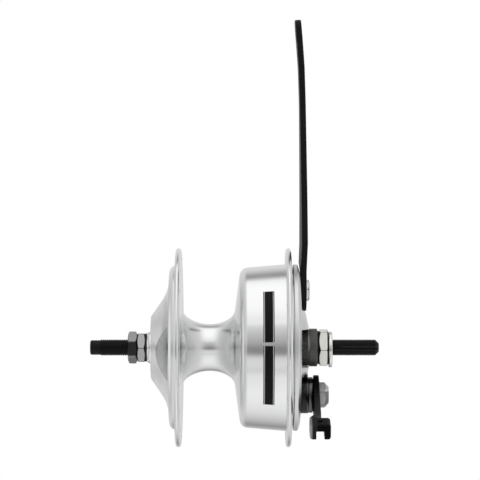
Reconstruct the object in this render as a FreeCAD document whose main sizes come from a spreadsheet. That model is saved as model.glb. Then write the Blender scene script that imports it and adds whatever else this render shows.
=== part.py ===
"""Drum brake front hub for a bicycle wheel, in millimetres.

X runs along the axle, with the brake side at +X. Z points up and -Y points forward, towards the front
of the bicycle. The origin is on the axle's axis, half way between the two faces that meet the fork ends.
"""

import FreeCAD, Part
import math
import os
import Sketcher
from FreeCAD import Placement, Rotation, Vector

doc = FreeCAD.newDocument("drum_brake_front_hub")
sheet = doc.addObject("Spreadsheet::Sheet", "Sizes")
X_AXIS = Vector(1, 0, 0)


class Size:
    """A length or count from the sheet, with the expression that gives it, so sums of sizes stay bound."""

    def __init__(self, value, text):
        self.value = value
        self.text = text

    def __add__(self, other):
        other = as_size(other)
        return Size(self.value + other.value, f"({self.text} + {other.text})")

    def __sub__(self, other):
        other = as_size(other)
        return Size(self.value - other.value, f"({self.text} - {other.text})")

    def __mul__(self, other):
        other = as_size(other)
        return Size(self.value * other.value, f"({self.text} * {other.text})")

    def __truediv__(self, other):
        other = as_size(other)
        return Size(self.value / other.value, f"({self.text} / {other.text})")

    def __neg__(self):
        return self * -1


def as_size(number):
    return number if isinstance(number, Size) else Size(number, f"({number!r})")


def root(size):
    return Size(math.sqrt(size.value), f"sqrt({size.text})")


def cosine(angle):
    return Size(math.cos(math.radians(angle.value)), f"cos({angle.text} * 1 deg)")


def sine(angle):
    return Size(math.sin(math.radians(angle.value)), f"sin({angle.text} * 1 deg)")


sheet_row = 0


def cell(alias, number):
    """Writes one driving dimension on the sheet under its own name."""
    global sheet_row
    sheet_row += 1
    sheet.set(f"A{sheet_row}", alias)
    sheet.set(f"B{sheet_row}", str(number))
    sheet.setAlias(f"B{sheet_row}", alias)
    return Size(number, f"Sizes.{alias}")


# Clearances: fixed turned seats, running fits, and air between pieces that move apart
seat_gap = cell("seat_gap", 0.02)
running_gap = cell("running_gap", 0.05)
air_gap = cell("air_gap", 0.4)

# Axle: threaded ends, and a body at the thread's pitch radius where nuts and sleeves sit
over_locknut = cell("over_locknut", 100.0)
thread_radius = cell("thread_radius", 3.97)
axle_body_radius = cell("axle_body_radius", 3.7)
left_end_length = cell("left_end_length", 18.9)
left_tip_length = cell("left_tip_length", 4.8)
left_tip_radius = cell("left_tip_radius", 3.65)
tip_chamfer = cell("tip_chamfer", 0.5)
thread_lead_in = cell("thread_lead_in", 0.4)
right_end_length = cell("right_end_length", 25.2)
right_tip_chamfer = cell("right_tip_chamfer", 1.8)
keyway_width = cell("keyway_width", 1.6)
keyway_depth = cell("keyway_depth", 0.9)
keyway_drop = cell("keyway_drop", 0.15)

# Left side stack, from the fork end inwards
left_nut_flats = cell("left_nut_flats", 14.0)
left_outer_nut_width = cell("left_outer_nut_width", 4.65)
left_inner_nut_width = cell("left_inner_nut_width", 4.15)
nut_countersink_radius = cell("nut_countersink_radius", 4.35)
seal_washer_width = cell("seal_washer_width", 0.7)
seal_washer_radius = cell("seal_washer_radius", 7.05)
cap_width = cell("cap_width", 2.6)
cap_nose_radius = cell("cap_nose_radius", 7.2)
cap_radius = cell("cap_radius", 8.0)
cap_dome_radius = cell("cap_dome_radius", 2.6)
cap_rim_width = cell("cap_rim_width", 1.0)

# Ball bearings, one at each side
bearing_width = cell("bearing_width", 8.0)
bearing_bore = cell("bearing_bore", 12.0)
bearing_outside = cell("bearing_outside", 28.0)
inner_race_wall = cell("inner_race_wall", 2.3)
outer_race_wall = cell("outer_race_wall", 2.3)
ball_radius = cell("ball_radius", 2.381)
ball_count = cell("ball_count", 8)
cage_wall = cell("cage_wall", 1.3)
cage_width = cell("cage_width", 5.8)
cage_pocket_gap = cell("cage_pocket_gap", 0.15)
bearing_seal_width = cell("bearing_seal_width", 0.6)
bearing_seal_inset = cell("bearing_seal_inset", 0.15)
bearing_recess = cell("bearing_recess", 0.5)
bearing_relief_depth = cell("bearing_relief_depth", 0.5)
bearing_relief_radius = cell("bearing_relief_radius", 12.2)

# Sleeves between the bearings and the brake plate
distance_tube_radius = cell("distance_tube_radius", 7.4)
sleeve_body_length = cell("sleeve_body_length", 19.2)
sleeve_body_radius = cell("sleeve_body_radius", 8.0)

# Hub shell: left boss and dish
boss_face_radius = cell("boss_face_radius", 15.9)
boss_edge = cell("boss_edge", 0.4)
boss_mouth_chamfer = cell("boss_mouth_chamfer", 0.4)
boss_cone_length = cell("boss_cone_length", 5.3)
boss_cone_radius = cell("boss_cone_radius", 23.5)
dish_radius = cell("dish_radius", 36.0)
dish_sweep_radius = cell("dish_sweep_radius", 22.0)
ring_height = cell("ring_height", 2.9)
ring_flat = cell("ring_flat", 1.9)
ring_corner_radius = cell("ring_corner_radius", 3.2)
ring_rise = cell("ring_rise", 3.1)

# Hub shell: spoke flanges
left_flange_inset = cell("left_flange_inset", 13.65)
flange_height = cell("flange_height", 8.0)
flange_root_half = cell("flange_root_half", 1.55)
flange_rim_half = cell("flange_rim_half", 1.3)
spoke_hole_inset = cell("spoke_hole_inset", 4.6)
spoke_hole_radius = cell("spoke_hole_radius", 1.3)
spoke_count = cell("spoke_count", 18)

# Hub shell: barrel, from the left flange to the drum
barrel_root_radius = cell("barrel_root_radius", 20.8)
barrel_root_fillet = cell("barrel_root_fillet", 7.0)
barrel_neck_inset = cell("barrel_neck_inset", 3.1)
barrel_neck_radius = cell("barrel_neck_radius", 14.95)
barrel_left_sweep = cell("barrel_left_sweep", 18.7)
waist_share = cell("waist_share", 0.562)
waist_length = cell("waist_length", 1.0)
waist_radius = cell("waist_radius", 11.7)
barrel_right_sweep = cell("barrel_right_sweep", 16.5)
barrel_flare_radius = cell("barrel_flare_radius", 14.78)
barrel_bore_radius = cell("barrel_bore_radius", 8.8)
bore_cone_length = cell("bore_cone_length", 1.1)

# Hub shell: brake drum
drum_throat_fillet = cell("drum_throat_fillet", 5.9)
drum_throat_length = cell("drum_throat_length", 2.4)
drum_throat_radius = cell("drum_throat_radius", 18.8)
drum_wall_length = cell("drum_wall_length", 2.35)
drum_corner_radius = cell("drum_corner_radius", 4.2)
drum_corner_length = cell("drum_corner_length", 3.95)
drum_corner_rise = cell("drum_corner_rise", 3.6)
drum_wall = cell("drum_wall", 2.7)
drum_taper = cell("drum_taper", 1.6)
drum_depth = cell("drum_depth", 25.8)
drum_mouth_gap = cell("drum_mouth_gap", 0.75)
drum_floor_thickness = cell("drum_floor_thickness", 2.75)
drum_floor_rise = cell("drum_floor_rise", 1.9)
drum_floor_inset = cell("drum_floor_inset", 1.6)
drum_boss_radius = cell("drum_boss_radius", 18.0)
drum_boss_foot = cell("drum_boss_foot", 1.2)
drum_boss_overhang = cell("drum_boss_overhang", 0.3)
drum_mouth_chamfer = cell("drum_mouth_chamfer", 0.5)

# Brake drum liner, the ring that the shoes rub on
brake_radius = cell("brake_radius", 35.0)
liner_wall = cell("liner_wall", 2.28)

# Brake plate
plate_hub_thickness = cell("plate_hub_thickness", 4.2)
plate_hub_radius = cell("plate_hub_radius", 12.0)
plate_wall = cell("plate_wall", 3.0)
plate_rim_inset = cell("plate_rim_inset", 0.1)
plate_rim_back = cell("plate_rim_back", 3.7)
plate_rim_chamfer = cell("plate_rim_chamfer", 0.3)
plate_rim_width = cell("plate_rim_width", 2.0)
plate_bevel_depth = cell("plate_bevel_depth", 0.45)
plate_bevel_width = cell("plate_bevel_width", 3.2)
plate_slope_width = cell("plate_slope_width", 4.9)
plate_lip_gap = cell("plate_lip_gap", 0.6)
plate_lip_wall = cell("plate_lip_wall", 2.1)
plate_lip_length = cell("plate_lip_length", 2.4)
dome_foot_radius = cell("dome_foot_radius", 22.8)
dome_shoulder_radius = cell("dome_shoulder_radius", 17.2)
dome_shoulder_height = cell("dome_shoulder_height", 2.75)
dome_top_radius = cell("dome_top_radius", 9.9)
dome_top_height = cell("dome_top_height", 4.25)
dome_slot_gap = cell("dome_slot_gap", 0.45)
dome_flat_drop = cell("dome_flat_drop", 14.1)
dome_step_drop = cell("dome_step_drop", 12.9)
dome_step_rise = cell("dome_step_rise", 1.3)
anchor_drum_gap = cell("anchor_drum_gap", 0.5)
cam_drop = cell("cam_drop", 23.7)

# Right side stack, from the brake plate to the fork end
spacer_length = cell("spacer_length", 8.5)
spacer_radius = cell("spacer_radius", 9.05)
spacer_collar_radius = cell("spacer_collar_radius", 9.45)
spacer_collar_start = cell("spacer_collar_start", 4.2)
spacer_edge = cell("spacer_edge", 0.4)
lock_washer_width = cell("lock_washer_width", 0.6)
lock_washer_radius = cell("lock_washer_radius", 8.3)
right_nut_flats = cell("right_nut_flats", 17.0)
right_nut_width = cell("right_nut_width", 4.9)
loose_washer_width = cell("loose_washer_width", 1.9)
loose_washer_radius = cell("loose_washer_radius", 8.95)
loose_washer_bore = cell("loose_washer_bore", 4.7)
loose_washer_edge = cell("loose_washer_edge", 0.35)

# Anchor pin and reaction arm
anchor_pin_radius = cell("anchor_pin_radius", 4.0)
anchor_shoulder_radius = cell("anchor_shoulder_radius", 6.0)
anchor_shoulder_width = cell("anchor_shoulder_width", 2.0)
anchor_thread_radius = cell("anchor_thread_radius", 2.75)
anchor_nut_flats = cell("anchor_nut_flats", 10.0)
anchor_nut_width = cell("anchor_nut_width", 1.5)
arm_thickness = cell("arm_thickness", 3.0)
arm_foot_radius = cell("arm_foot_radius", 10.2)
arm_foot_top = cell("arm_foot_top", 38.0)
arm_half_width = cell("arm_half_width", 8.5)
arm_top = cell("arm_top", 163.5)
arm_end_round = cell("arm_end_round", 5.5)
clip_hole_radius = cell("clip_hole_radius", 2.65)
clip_hole_inset = cell("clip_hole_inset", 8.5)

# Cam spindle, its bush, and the brake lever with its nut
cam_half_thickness = cell("cam_half_thickness", 3.0)
cam_half_height = cell("cam_half_height", 5.0)
cam_inset = cell("cam_inset", 2.5)
cam_corner = cell("cam_corner", 0.8)
spindle_radius = cell("spindle_radius", 5.0)
spindle_flange_radius = cell("spindle_flange_radius", 6.5)
spindle_flange_width = cell("spindle_flange_width", 3.0)
spindle_square = cell("spindle_square", 6.4)
spindle_thread_radius = cell("spindle_thread_radius", 3.2)
bush_neck_radius = cell("bush_neck_radius", 7.0)
bush_flange_radius = cell("bush_flange_radius", 9.2)
bush_flange_width = cell("bush_flange_width", 3.9)
bush_body_radius = cell("bush_body_radius", 8.95)
bush_body_width = cell("bush_body_width", 2.1)
bush_end_radius = cell("bush_end_radius", 8.2)
bush_end_width = cell("bush_end_width", 0.4)
bush_tab_start = cell("bush_tab_start", 1.4)
bush_tab_thickness = cell("bush_tab_thickness", 2.5)
bush_tab_rise = cell("bush_tab_rise", 2.6)
bush_tab_half = cell("bush_tab_half", 2.2)
lever_thickness = cell("lever_thickness", 2.8)
lever_boss_radius = cell("lever_boss_radius", 9.9)
lever_reach = cell("lever_reach", 52.0)
lever_rest_angle = cell("lever_rest_angle", 15.0)
lever_step = cell("lever_step", 3.15)
lever_step_length = cell("lever_step_length", 5.8)
lever_step_mitre = cell("lever_step_mitre", 0.7)
channel_length = cell("channel_length", 12.0)
channel_width = cell("channel_width", 10.1)
channel_wall = cell("channel_wall", 3.1)
channel_top = cell("channel_top", 2.5)
channel_bottom = cell("channel_bottom", 4.95)
blade_drop = cell("blade_drop", 4.35)
channel_web = cell("channel_web", 3.2)
channel_round = cell("channel_round", 1.3)
cable_hole_radius = cell("cable_hole_radius", 1.3)
cable_hole_inset = cell("cable_hole_inset", 6.0)
lever_nut_flats = cell("lever_nut_flats", 11.5)
lever_nut_width = cell("lever_nut_width", 4.9)

# Brake shoes and linings
shoe_floor_gap = cell("shoe_floor_gap", 4.5)
shoe_width = cell("shoe_width", 16.0)
shoe_end_inset = cell("shoe_end_inset", 2.0)
shoe_end_width = cell("shoe_end_width", 12.5)
shoe_web_inset = cell("shoe_web_inset", 6.0)
shoe_web_thickness = cell("shoe_web_thickness", 4.0)
shoe_web_radius = cell("shoe_web_radius", 17.0)
shoe_rim_wall = cell("shoe_rim_wall", 2.5)
shoe_rim_angle = cell("shoe_rim_angle", 57.0)
shoe_eye_radius = cell("shoe_eye_radius", 5.4)
shoe_split_half = cell("shoe_split_half", 0.5)
shoe_pad_depth = cell("shoe_pad_depth", 6.0)
shoe_pad_half_height = cell("shoe_pad_half_height", 5.9)
cam_to_shoe_gap = cell("cam_to_shoe_gap", 0.3)
lining_thickness = cell("lining_thickness", 3.0)
lining_angle = cell("lining_angle", 52.0)
lining_to_drum_gap = cell("lining_to_drum_gap", 0.9)

# Shoe springs
spring_wire_radius = cell("spring_wire_radius", 0.5)
spring_coil_radius = cell("spring_coil_radius", 2.3)
spring_coil_length = cell("spring_coil_length", 15.0)
spring_hook_bend = cell("spring_hook_bend", 1.5)
spring_offset = cell("spring_offset", 3.2)
spring_hook_tail = cell("spring_hook_tail", 0.6)
spring_hole_radius = cell("spring_hole_radius", 0.8)
cam_spring_drop = cell("cam_spring_drop", 14.1)
cam_spring_reach = cell("cam_spring_reach", 14.1)
anchor_spring_height = cell("anchor_spring_height", 17.0)
anchor_spring_reach = cell("anchor_spring_reach", 12.5)

doc.recompute()

# Places along the axle, each one built on the last
left_fork_face = -(over_locknut / 2)
right_fork_face = over_locknut / 2
left_inner_nut_x = left_fork_face + left_outer_nut_width
seal_washer_x = left_inner_nut_x + left_inner_nut_width
cap_x = seal_washer_x + seal_washer_width
left_bearing_x = cap_x + cap_width
distance_tube_x = left_bearing_x + bearing_width
right_nut_x = right_fork_face - right_nut_width
lock_washer_x = right_nut_x - lock_washer_width
plate_face_x = lock_washer_x - spacer_length
plate_x = plate_face_x - plate_hub_thickness
sleeve_x = plate_x - sleeve_body_length
right_bearing_x = sleeve_x - bearing_width
loose_washer_end_x = right_fork_face + loose_washer_width

# The drum's places, from its mouth beside the plate's rim to its floor, and what lies inside it
plate_rim_x = plate_face_x - plate_rim_back
plate_inner_x = plate_face_x - plate_wall
plate_lip_x = plate_inner_x - plate_lip_length
drum_mouth_x = plate_rim_x - drum_mouth_gap
drum_wall_x = drum_mouth_x - drum_depth
drum_floor_x = drum_wall_x + drum_floor_thickness
liner_x = drum_floor_x + drum_floor_rise
liner_end_x = plate_lip_x - air_gap
shoe_x = drum_floor_x + shoe_floor_gap
cam_x = shoe_x + cam_inset

# Radii that follow the brake's own radius
liner_seat_radius = brake_radius + liner_wall + seat_gap
drum_small_radius = liner_seat_radius + drum_wall
drum_large_radius = drum_small_radius + drum_taper
flange_radius = drum_large_radius + flange_height
plate_radius = drum_large_radius - plate_rim_inset
anchor_height = brake_radius - anchor_shoulder_radius - anchor_drum_gap

sleeve_bore_radius = axle_body_radius + seat_gap
ball_circle_radius = bearing_bore / 4 + bearing_outside / 4


def origin_plane(body, role):
    """One of the body's own three planes or axes, found by its role."""
    return next(item for item in body.Origin.OriginFeatures if item.Role == role)


def new_body(label):
    body = doc.addObject("PartDesign::Body", label)
    body.Label = label
    return body


def new_sketch(body, name, plane, lift=None):
    """A sketch on one of the body's origin planes, lifted off it along its normal."""
    sketch = body.newObject("Sketcher::SketchObject", name)
    sketch.AttachmentSupport = [(origin_plane(body, plane), "")]
    sketch.MapMode = "FlatFace"
    if lift is not None:
        sketch.AttachmentOffset = Placement(Vector(0, 0, lift.value), Rotation())
        sketch.setExpression("AttachmentOffset.Base.z", lift.text)
    return sketch


def bind(sketch, constraint, size):
    """Adds a dimension to the sketch and ties it to the sheet."""
    index = sketch.addConstraint(constraint)
    sketch.setExpression(f"Constraints[{index}]", size.text)


def arc_centre(start, end, radius, left_turn):
    """Centre of the shorter arc from start to end, turning left or right."""
    chord = end - start
    half = chord.Length / 2
    rise = math.sqrt(max(radius * radius - half * half, 0.0))
    normal = Vector(-chord.y, chord.x, 0).normalize()
    return (start + end) * 0.5 + normal * (rise if left_turn else -rise)


def draw_outline(sketch, outline):
    """Closes a loop of lines and arcs through corners given as sizes.

    A corner is (across, up), or (across, up, radius, turn) where an arc runs on to the next corner,
    with turn +1 to the left and -1 to the right.
    """
    corners = [Vector(corner[0].value, corner[1].value, 0) for corner in outline]
    ends = []
    for number, corner in enumerate(outline):
        start = corners[number]
        end = corners[(number + 1) % len(corners)]
        if len(corner) == 2:
            geometry = sketch.addGeometry(Part.LineSegment(start, end), False)
            ends.append((geometry, 1, 2))
            continue
        radius, left_turn = corner[2].value, corner[3] > 0
        centre = arc_centre(start, end, radius, left_turn)
        first, last = (start, end) if left_turn else (end, start)
        from_angle = math.atan2(first.y - centre.y, first.x - centre.x)
        to_angle = math.atan2(last.y - centre.y, last.x - centre.x)
        circle = Part.Circle(centre, Vector(0, 0, 1), radius)
        geometry = sketch.addGeometry(Part.ArcOfCircle(circle, from_angle, to_angle), False)
        ends.append((geometry, 1, 2) if left_turn else (geometry, 2, 1))
    for number, corner in enumerate(outline):
        geometry, start_point, _ = ends[number]
        before, _, before_end = ends[number - 1]
        sketch.addConstraint(Sketcher.Constraint("Coincident", before, before_end, geometry, start_point))
        across, up = corner[0], corner[1]
        bind(sketch, Sketcher.Constraint("DistanceX", -1, 1, geometry, start_point, across.value), across)
        bind(sketch, Sketcher.Constraint("DistanceY", -1, 1, geometry, start_point, up.value), up)
        if len(corner) > 2:
            bind(sketch, Sketcher.Constraint("Radius", geometry, corner[2].value), corner[2])


def draw_circle(sketch, across, up, radius):
    centre = Vector(across.value, up.value, 0)
    geometry = sketch.addGeometry(Part.Circle(centre, Vector(0, 0, 1), radius.value), False)
    bind(sketch, Sketcher.Constraint("DistanceX", -1, 1, geometry, 3, across.value), across)
    bind(sketch, Sketcher.Constraint("DistanceY", -1, 1, geometry, 3, up.value), up)
    bind(sketch, Sketcher.Constraint("Radius", geometry, radius.value), radius)


def revolve(body, outline, name="profile"):
    """Turns an outline of (place along the axle, radius) about the X axis."""
    sketch = new_sketch(body, f"{body.Label}_{name}", "XY_Plane")
    draw_outline(sketch, outline)
    feature = body.newObject("PartDesign::Revolution", f"{body.Label}_{name}_turned")
    feature.Profile = sketch
    feature.ReferenceAxis = (sketch, ["H_Axis"])
    feature.Angle = 360
    return feature


def groove(body, outline, name):
    """Turns material away about the X axis."""
    sketch = new_sketch(body, f"{body.Label}_{name}", "XY_Plane")
    draw_outline(sketch, outline)
    feature = body.newObject("PartDesign::Groove", f"{body.Label}_{name}_groove")
    feature.Profile = sketch
    feature.ReferenceAxis = (sketch, ["H_Axis"])
    feature.Angle = 360
    return feature


def pad(body, name, plane, start, length, draw):
    """Adds material along the plane's normal, from start and for length."""
    sketch = new_sketch(body, f"{body.Label}_{name}", plane, start)
    draw(sketch)
    feature = body.newObject("PartDesign::Pad", f"{body.Label}_{name}_pad")
    feature.Profile = sketch
    feature.Length = length.value
    feature.setExpression("Length", length.text)
    return feature


def pocket(body, name, plane, start, depth, draw):
    """Cuts against the plane's normal, from start and for depth, and checks that something was cut."""
    doc.recompute()
    before = body.Shape.Volume
    sketch = new_sketch(body, f"{body.Label}_{name}", plane, start)
    draw(sketch)
    feature = body.newObject("PartDesign::Pocket", f"{body.Label}_{name}_pocket")
    feature.Profile = sketch
    feature.Length = depth.value
    feature.setExpression("Length", depth.text)
    doc.recompute()
    if body.Shape.Volume > before - 0.001:
        raise RuntimeError(f"{body.Label}: {name} cuts nothing")
    return feature


def turned(label, outline):
    """A piece made on a lathe, from one closed outline."""
    body = new_body(label)
    revolve(body, outline)
    return body


def ring(label, start, end, bore, outside):
    return turned(label, [(start, bore), (end, bore), (end, outside), (start, outside)])


def place_on(body, height):
    """Lifts a piece that was drawn about the axle's axis onto a parallel axis."""
    body.Placement = Placement(Vector(0, 0, height.value), Rotation(X_AXIS, 0))
    body.setExpression("Placement.Base.z", height.text)


def hexagon(flats, corner_angle):
    """Six corners of a nut, the first at corner_angle degrees above the forward direction."""
    corner_radius = flats / 2 / math.cos(math.radians(30))
    corners = []
    for number in range(6):
        angle = math.radians(180 - corner_angle + 60 * number)
        corners.append((corner_radius * math.cos(angle), corner_radius * math.sin(angle)))
    return corners


def hex_nut(label, start, width, flats, bore, corner_angle, faces, bevel=0.27, countersink=None):
    """A nut with its corners bevelled off on the faces named as left or right.

    bevel is the slope of the bevel, as rise along the axle for each millimetre of radius. countersink names
    the face where the thread's mouth is opened out.
    """
    body = new_body(label)
    bar = hexagon(flats, corner_angle)
    pad(body, "hexagon", "YZ_Plane", start, width, lambda sketch: draw_outline(sketch, bar))
    end = start + width
    reach = flats * 0.62
    face_radius = flats * 0.475
    slope = (reach - face_radius) * (2 * bevel)
    beyond = flats * 0.05
    if "left" in faces:
        corner = [
            (start - beyond, face_radius),
            (start, face_radius),
            (start + slope, reach),
            (start - beyond, reach),
        ]
        groove(body, corner, "left_bevel")
    if "right" in faces:
        corner = [(end, face_radius), (end + beyond, face_radius), (end + beyond, reach), (end - slope, reach)]
        groove(body, corner, "right_bevel")
    zero = as_size(0.0)
    pocket(body, "bore", "YZ_Plane", end, width, lambda sketch: draw_circle(sketch, zero, zero, bore))
    depth = nut_countersink_radius - bore
    if countersink == "left":
        groove(body, [(start, bore), (start + depth, bore), (start, nut_countersink_radius)], "countersink")
    if countersink == "right":
        groove(body, [(end, bore), (end, nut_countersink_radius), (end - depth, bore)], "countersink")
    return body


def make_axle():
    tip_x = left_fork_face - left_end_length
    step_x = tip_x + left_tip_length
    end_x = right_fork_face + right_end_length
    zero = as_size(0.0)
    body = turned("axle", [
        (tip_x, zero),
        (end_x, zero),
        (end_x, thread_radius - right_tip_chamfer),
        (end_x - right_tip_chamfer, thread_radius),
        (loose_washer_end_x + air_gap, thread_radius),
        (loose_washer_end_x + air_gap, axle_body_radius),
        (left_fork_face, axle_body_radius),
        (left_fork_face, thread_radius),
        (step_x + thread_lead_in, thread_radius),
        (step_x, left_tip_radius),
        (tip_x + tip_chamfer, left_tip_radius),
        (tip_x, left_tip_radius - tip_chamfer),
    ])
    keyway_top = keyway_width / 2 - keyway_drop
    keyway_bottom = -(keyway_width / 2) - keyway_drop
    keyway_start = lock_washer_x
    keyway_end = end_x + keyway_depth
    outline = [
        (keyway_start, keyway_bottom),
        (keyway_end, keyway_bottom),
        (keyway_end, keyway_top),
        (keyway_start, keyway_top),
    ]
    pocket(body, "keyway", "XZ_Plane", thread_radius + keyway_depth, keyway_depth * 2,
           lambda sketch: draw_outline(sketch, outline))


def make_left_stack():
    hex_nut("left_outer_locknut", left_fork_face, left_outer_nut_width, left_nut_flats,
            sleeve_bore_radius, 26.3, ("left", "right"), countersink="left")
    hex_nut("left_inner_locknut", left_inner_nut_x, left_inner_nut_width, left_nut_flats,
            sleeve_bore_radius, 0.0, ("left", "right"))
    ring("left_seal_washer", seal_washer_x, seal_washer_x + seal_washer_width,
         sleeve_bore_radius, seal_washer_radius)
    turned("left_bearing_cap", [
        (cap_x, sleeve_bore_radius),
        (distance_tube_x, sleeve_bore_radius),
        (distance_tube_x, bearing_bore / 2 - seat_gap),
        (left_bearing_x, bearing_bore / 2 - seat_gap),
        (left_bearing_x, cap_radius),
        (left_bearing_x - cap_rim_width, cap_radius, cap_dome_radius, 1),
        (cap_x, cap_nose_radius),
    ])


def make_bearing(side, start):
    """One sealed ball bearing: two races, balls, cage and two seals."""
    end = start + bearing_width
    middle = start + bearing_width / 2
    inner_bore = bearing_bore / 2
    inner_top = inner_bore + inner_race_wall
    outer_top = bearing_outside / 2
    outer_bore = outer_top - outer_race_wall
    track_radius = ball_radius + running_gap
    inner_reach = ball_circle_radius - inner_top
    outer_reach = outer_bore - ball_circle_radius
    inner_track = root(track_radius * track_radius - inner_reach * inner_reach)
    outer_track = root(track_radius * track_radius - outer_reach * outer_reach)
    turned(f"{side}_inner_race", [
        (start, inner_bore),
        (end, inner_bore),
        (end, inner_top),
        (middle + inner_track, inner_top, track_radius, -1),
        (middle - inner_track, inner_top),
        (start, inner_top),
    ])
    turned(f"{side}_outer_race", [
        (start, outer_bore),
        (middle - outer_track, outer_bore, track_radius, -1),
        (middle + outer_track, outer_bore),
        (end, outer_bore),
        (end, outer_top - seat_gap),
        (start, outer_top - seat_gap),
    ])
    seal_bore = inner_top + air_gap
    seal_top = outer_bore - seat_gap
    left_seal_x = start + bearing_seal_inset
    right_seal_x = end - bearing_seal_inset - bearing_seal_width
    ring(f"{side}_bearing_left_seal", left_seal_x, left_seal_x + bearing_seal_width, seal_bore, seal_top)
    ring(f"{side}_bearing_right_seal", right_seal_x, right_seal_x + bearing_seal_width, seal_bore, seal_top)
    balls = ball_ring(f"{side}_balls", middle, ball_radius, f"{side}_ball")
    blank = ring(f"{side}_cage_blank", middle - cage_width / 2, middle + cage_width / 2,
                 ball_circle_radius - cage_wall / 2, ball_circle_radius + cage_wall / 2)
    pockets = ball_ring(f"{side}_cage_pockets", middle, ball_radius + cage_pocket_gap, f"{side}_pocket")
    cage = doc.addObject("Part::Cut", f"{side}_ball_cage")
    cage.Base = blank
    cage.Tool = pockets
    return balls, cage


def ball_ring(name, middle, radius, ball_name):
    """Balls spaced evenly round the bearing's ball circle, as one group of separate solids."""
    balls = []
    for number in range(int(ball_count.value)):
        ball = doc.addObject("Part::Sphere", f"{ball_name}_{number + 1}")
        ball.setExpression("Radius", radius.text)
        angle = f"360 deg / {ball_count.text} * {number}"
        ball.setExpression("Placement.Base.x", middle.text)
        ball.setExpression("Placement.Base.y", f"{ball_circle_radius.text} * cos({angle})")
        ball.setExpression("Placement.Base.z", f"{ball_circle_radius.text} * sin({angle})")
        balls.append(ball)
    group = doc.addObject("Part::Compound", name)
    group.Links = balls
    return group


def make_sleeves():
    ring("distance_tube", distance_tube_x, right_bearing_x, sleeve_bore_radius, distance_tube_radius)
    turned("right_bearing_sleeve", [
        (right_bearing_x, sleeve_bore_radius),
        (plate_x, sleeve_bore_radius),
        (plate_x, sleeve_body_radius),
        (sleeve_x, sleeve_body_radius),
        (sleeve_x, bearing_bore / 2 - seat_gap),
        (right_bearing_x, bearing_bore / 2 - seat_gap),
    ])


def flange_rim(flange_x, sign):
    """Tapered flange with a full round rim, walked over the rim in the direction of sign."""
    shoulder = flange_radius - flange_rim_half
    return [
        (flange_x - flange_rim_half * sign, shoulder, flange_rim_half, -1),
        (flange_x, flange_radius, flange_rim_half, -1),
        (flange_x + flange_rim_half * sign, shoulder),
    ]


def make_hub_shell():
    shell_left_x = left_bearing_x - bearing_recess
    left_flange_x = shell_left_x + left_flange_inset
    right_flange_x = drum_mouth_x - flange_root_half
    dish_x = left_flange_x - flange_root_half - ring_height
    left_root_radius = dish_radius + ring_flat + ring_rise
    barrel_x = left_flange_x + flange_root_half
    throat_x = drum_wall_x - drum_wall_length
    flare_x = throat_x - drum_throat_length
    waist_x = barrel_x + (flare_x - barrel_x) * waist_share
    bearing_seat = bearing_outside / 2
    relief_left_x = distance_tube_x + bearing_relief_depth
    relief_right_x = right_bearing_x - bearing_relief_depth
    outline = [
        (shell_left_x, bearing_seat + boss_mouth_chamfer),
        (shell_left_x, boss_face_radius),
        (shell_left_x + boss_edge, boss_face_radius + boss_edge),
        (shell_left_x + boss_cone_length, boss_cone_radius, dish_sweep_radius, 1),
        (dish_x, dish_radius),
        (dish_x, dish_radius + ring_flat, ring_corner_radius, -1),
        (left_flange_x - flange_root_half, left_root_radius),
        *flange_rim(left_flange_x, 1),
        (barrel_x, left_root_radius),
        (barrel_x, barrel_root_radius, barrel_root_fillet, 1),
        (barrel_x + barrel_neck_inset, barrel_neck_radius, barrel_left_sweep, 1),
        (waist_x, waist_radius),
        (waist_x + waist_length, waist_radius, barrel_right_sweep, 1),
        (flare_x, barrel_flare_radius, drum_throat_fillet, 1),
        (throat_x, drum_throat_radius),
        (drum_wall_x, drum_small_radius - drum_corner_rise, drum_corner_radius, -1),
        (drum_wall_x + drum_corner_length, drum_small_radius),
        (right_flange_x - flange_root_half, drum_large_radius),
        *flange_rim(right_flange_x, 1),
        (drum_mouth_x, drum_large_radius),
        (drum_mouth_x, liner_seat_radius + drum_mouth_chamfer),
        (drum_mouth_x - drum_mouth_chamfer, liner_seat_radius),
        (liner_x, liner_seat_radius),
        (liner_x, brake_radius),
        (drum_floor_x, brake_radius - drum_floor_inset),
        (drum_floor_x, drum_boss_radius + drum_boss_foot),
        (drum_floor_x + drum_boss_foot, drum_boss_radius),
        (sleeve_x + drum_boss_overhang, drum_boss_radius),
        (sleeve_x + drum_boss_overhang, bearing_seat),
        (right_bearing_x, bearing_seat),
        (right_bearing_x, bearing_relief_radius),
        (relief_right_x, bearing_relief_radius),
        (relief_right_x - bore_cone_length, barrel_bore_radius),
        (relief_left_x + bore_cone_length, barrel_bore_radius),
        (relief_left_x, bearing_relief_radius),
        (distance_tube_x, bearing_relief_radius),
        (distance_tube_x, bearing_seat),
        (shell_left_x + boss_mouth_chamfer, bearing_seat),
    ]
    body = turned("hub_shell", outline)
    stagger = {"left": 0.0, "right": 0.5}
    for side, flange_x in (("left", left_flange_x), ("right", right_flange_x)):
        turn = 2 * math.pi * stagger[side] / spoke_count.value
        across = (flange_radius - spoke_hole_inset) * math.cos(turn)
        up = (flange_radius - spoke_hole_inset) * math.sin(turn)
        hole = pocket(body, f"{side}_spoke_hole", "YZ_Plane", flange_x + flange_root_half * 2,
                      flange_root_half * 4, lambda sketch: draw_circle(sketch, across, up, spoke_hole_radius))
        holes = body.newObject("PartDesign::PolarPattern", f"{side}_spoke_holes")
        holes.Originals = [hole]
        holes.Axis = (origin_plane(body, "X_Axis"), [""])
        holes.Angle = 360
        holes.Occurrences = int(spoke_count.value)
        holes.setExpression("Occurrences", spoke_count.text)
        body.Tip = holes
    ring("drum_liner", liner_x, liner_end_x, brake_radius, brake_radius + liner_wall)


def box_outline(half_width, bottom, top):
    """Corners of a box that stands on the sketch's middle line."""
    return [(-half_width, bottom), (half_width, bottom), (half_width, top), (-half_width, top)]


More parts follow.
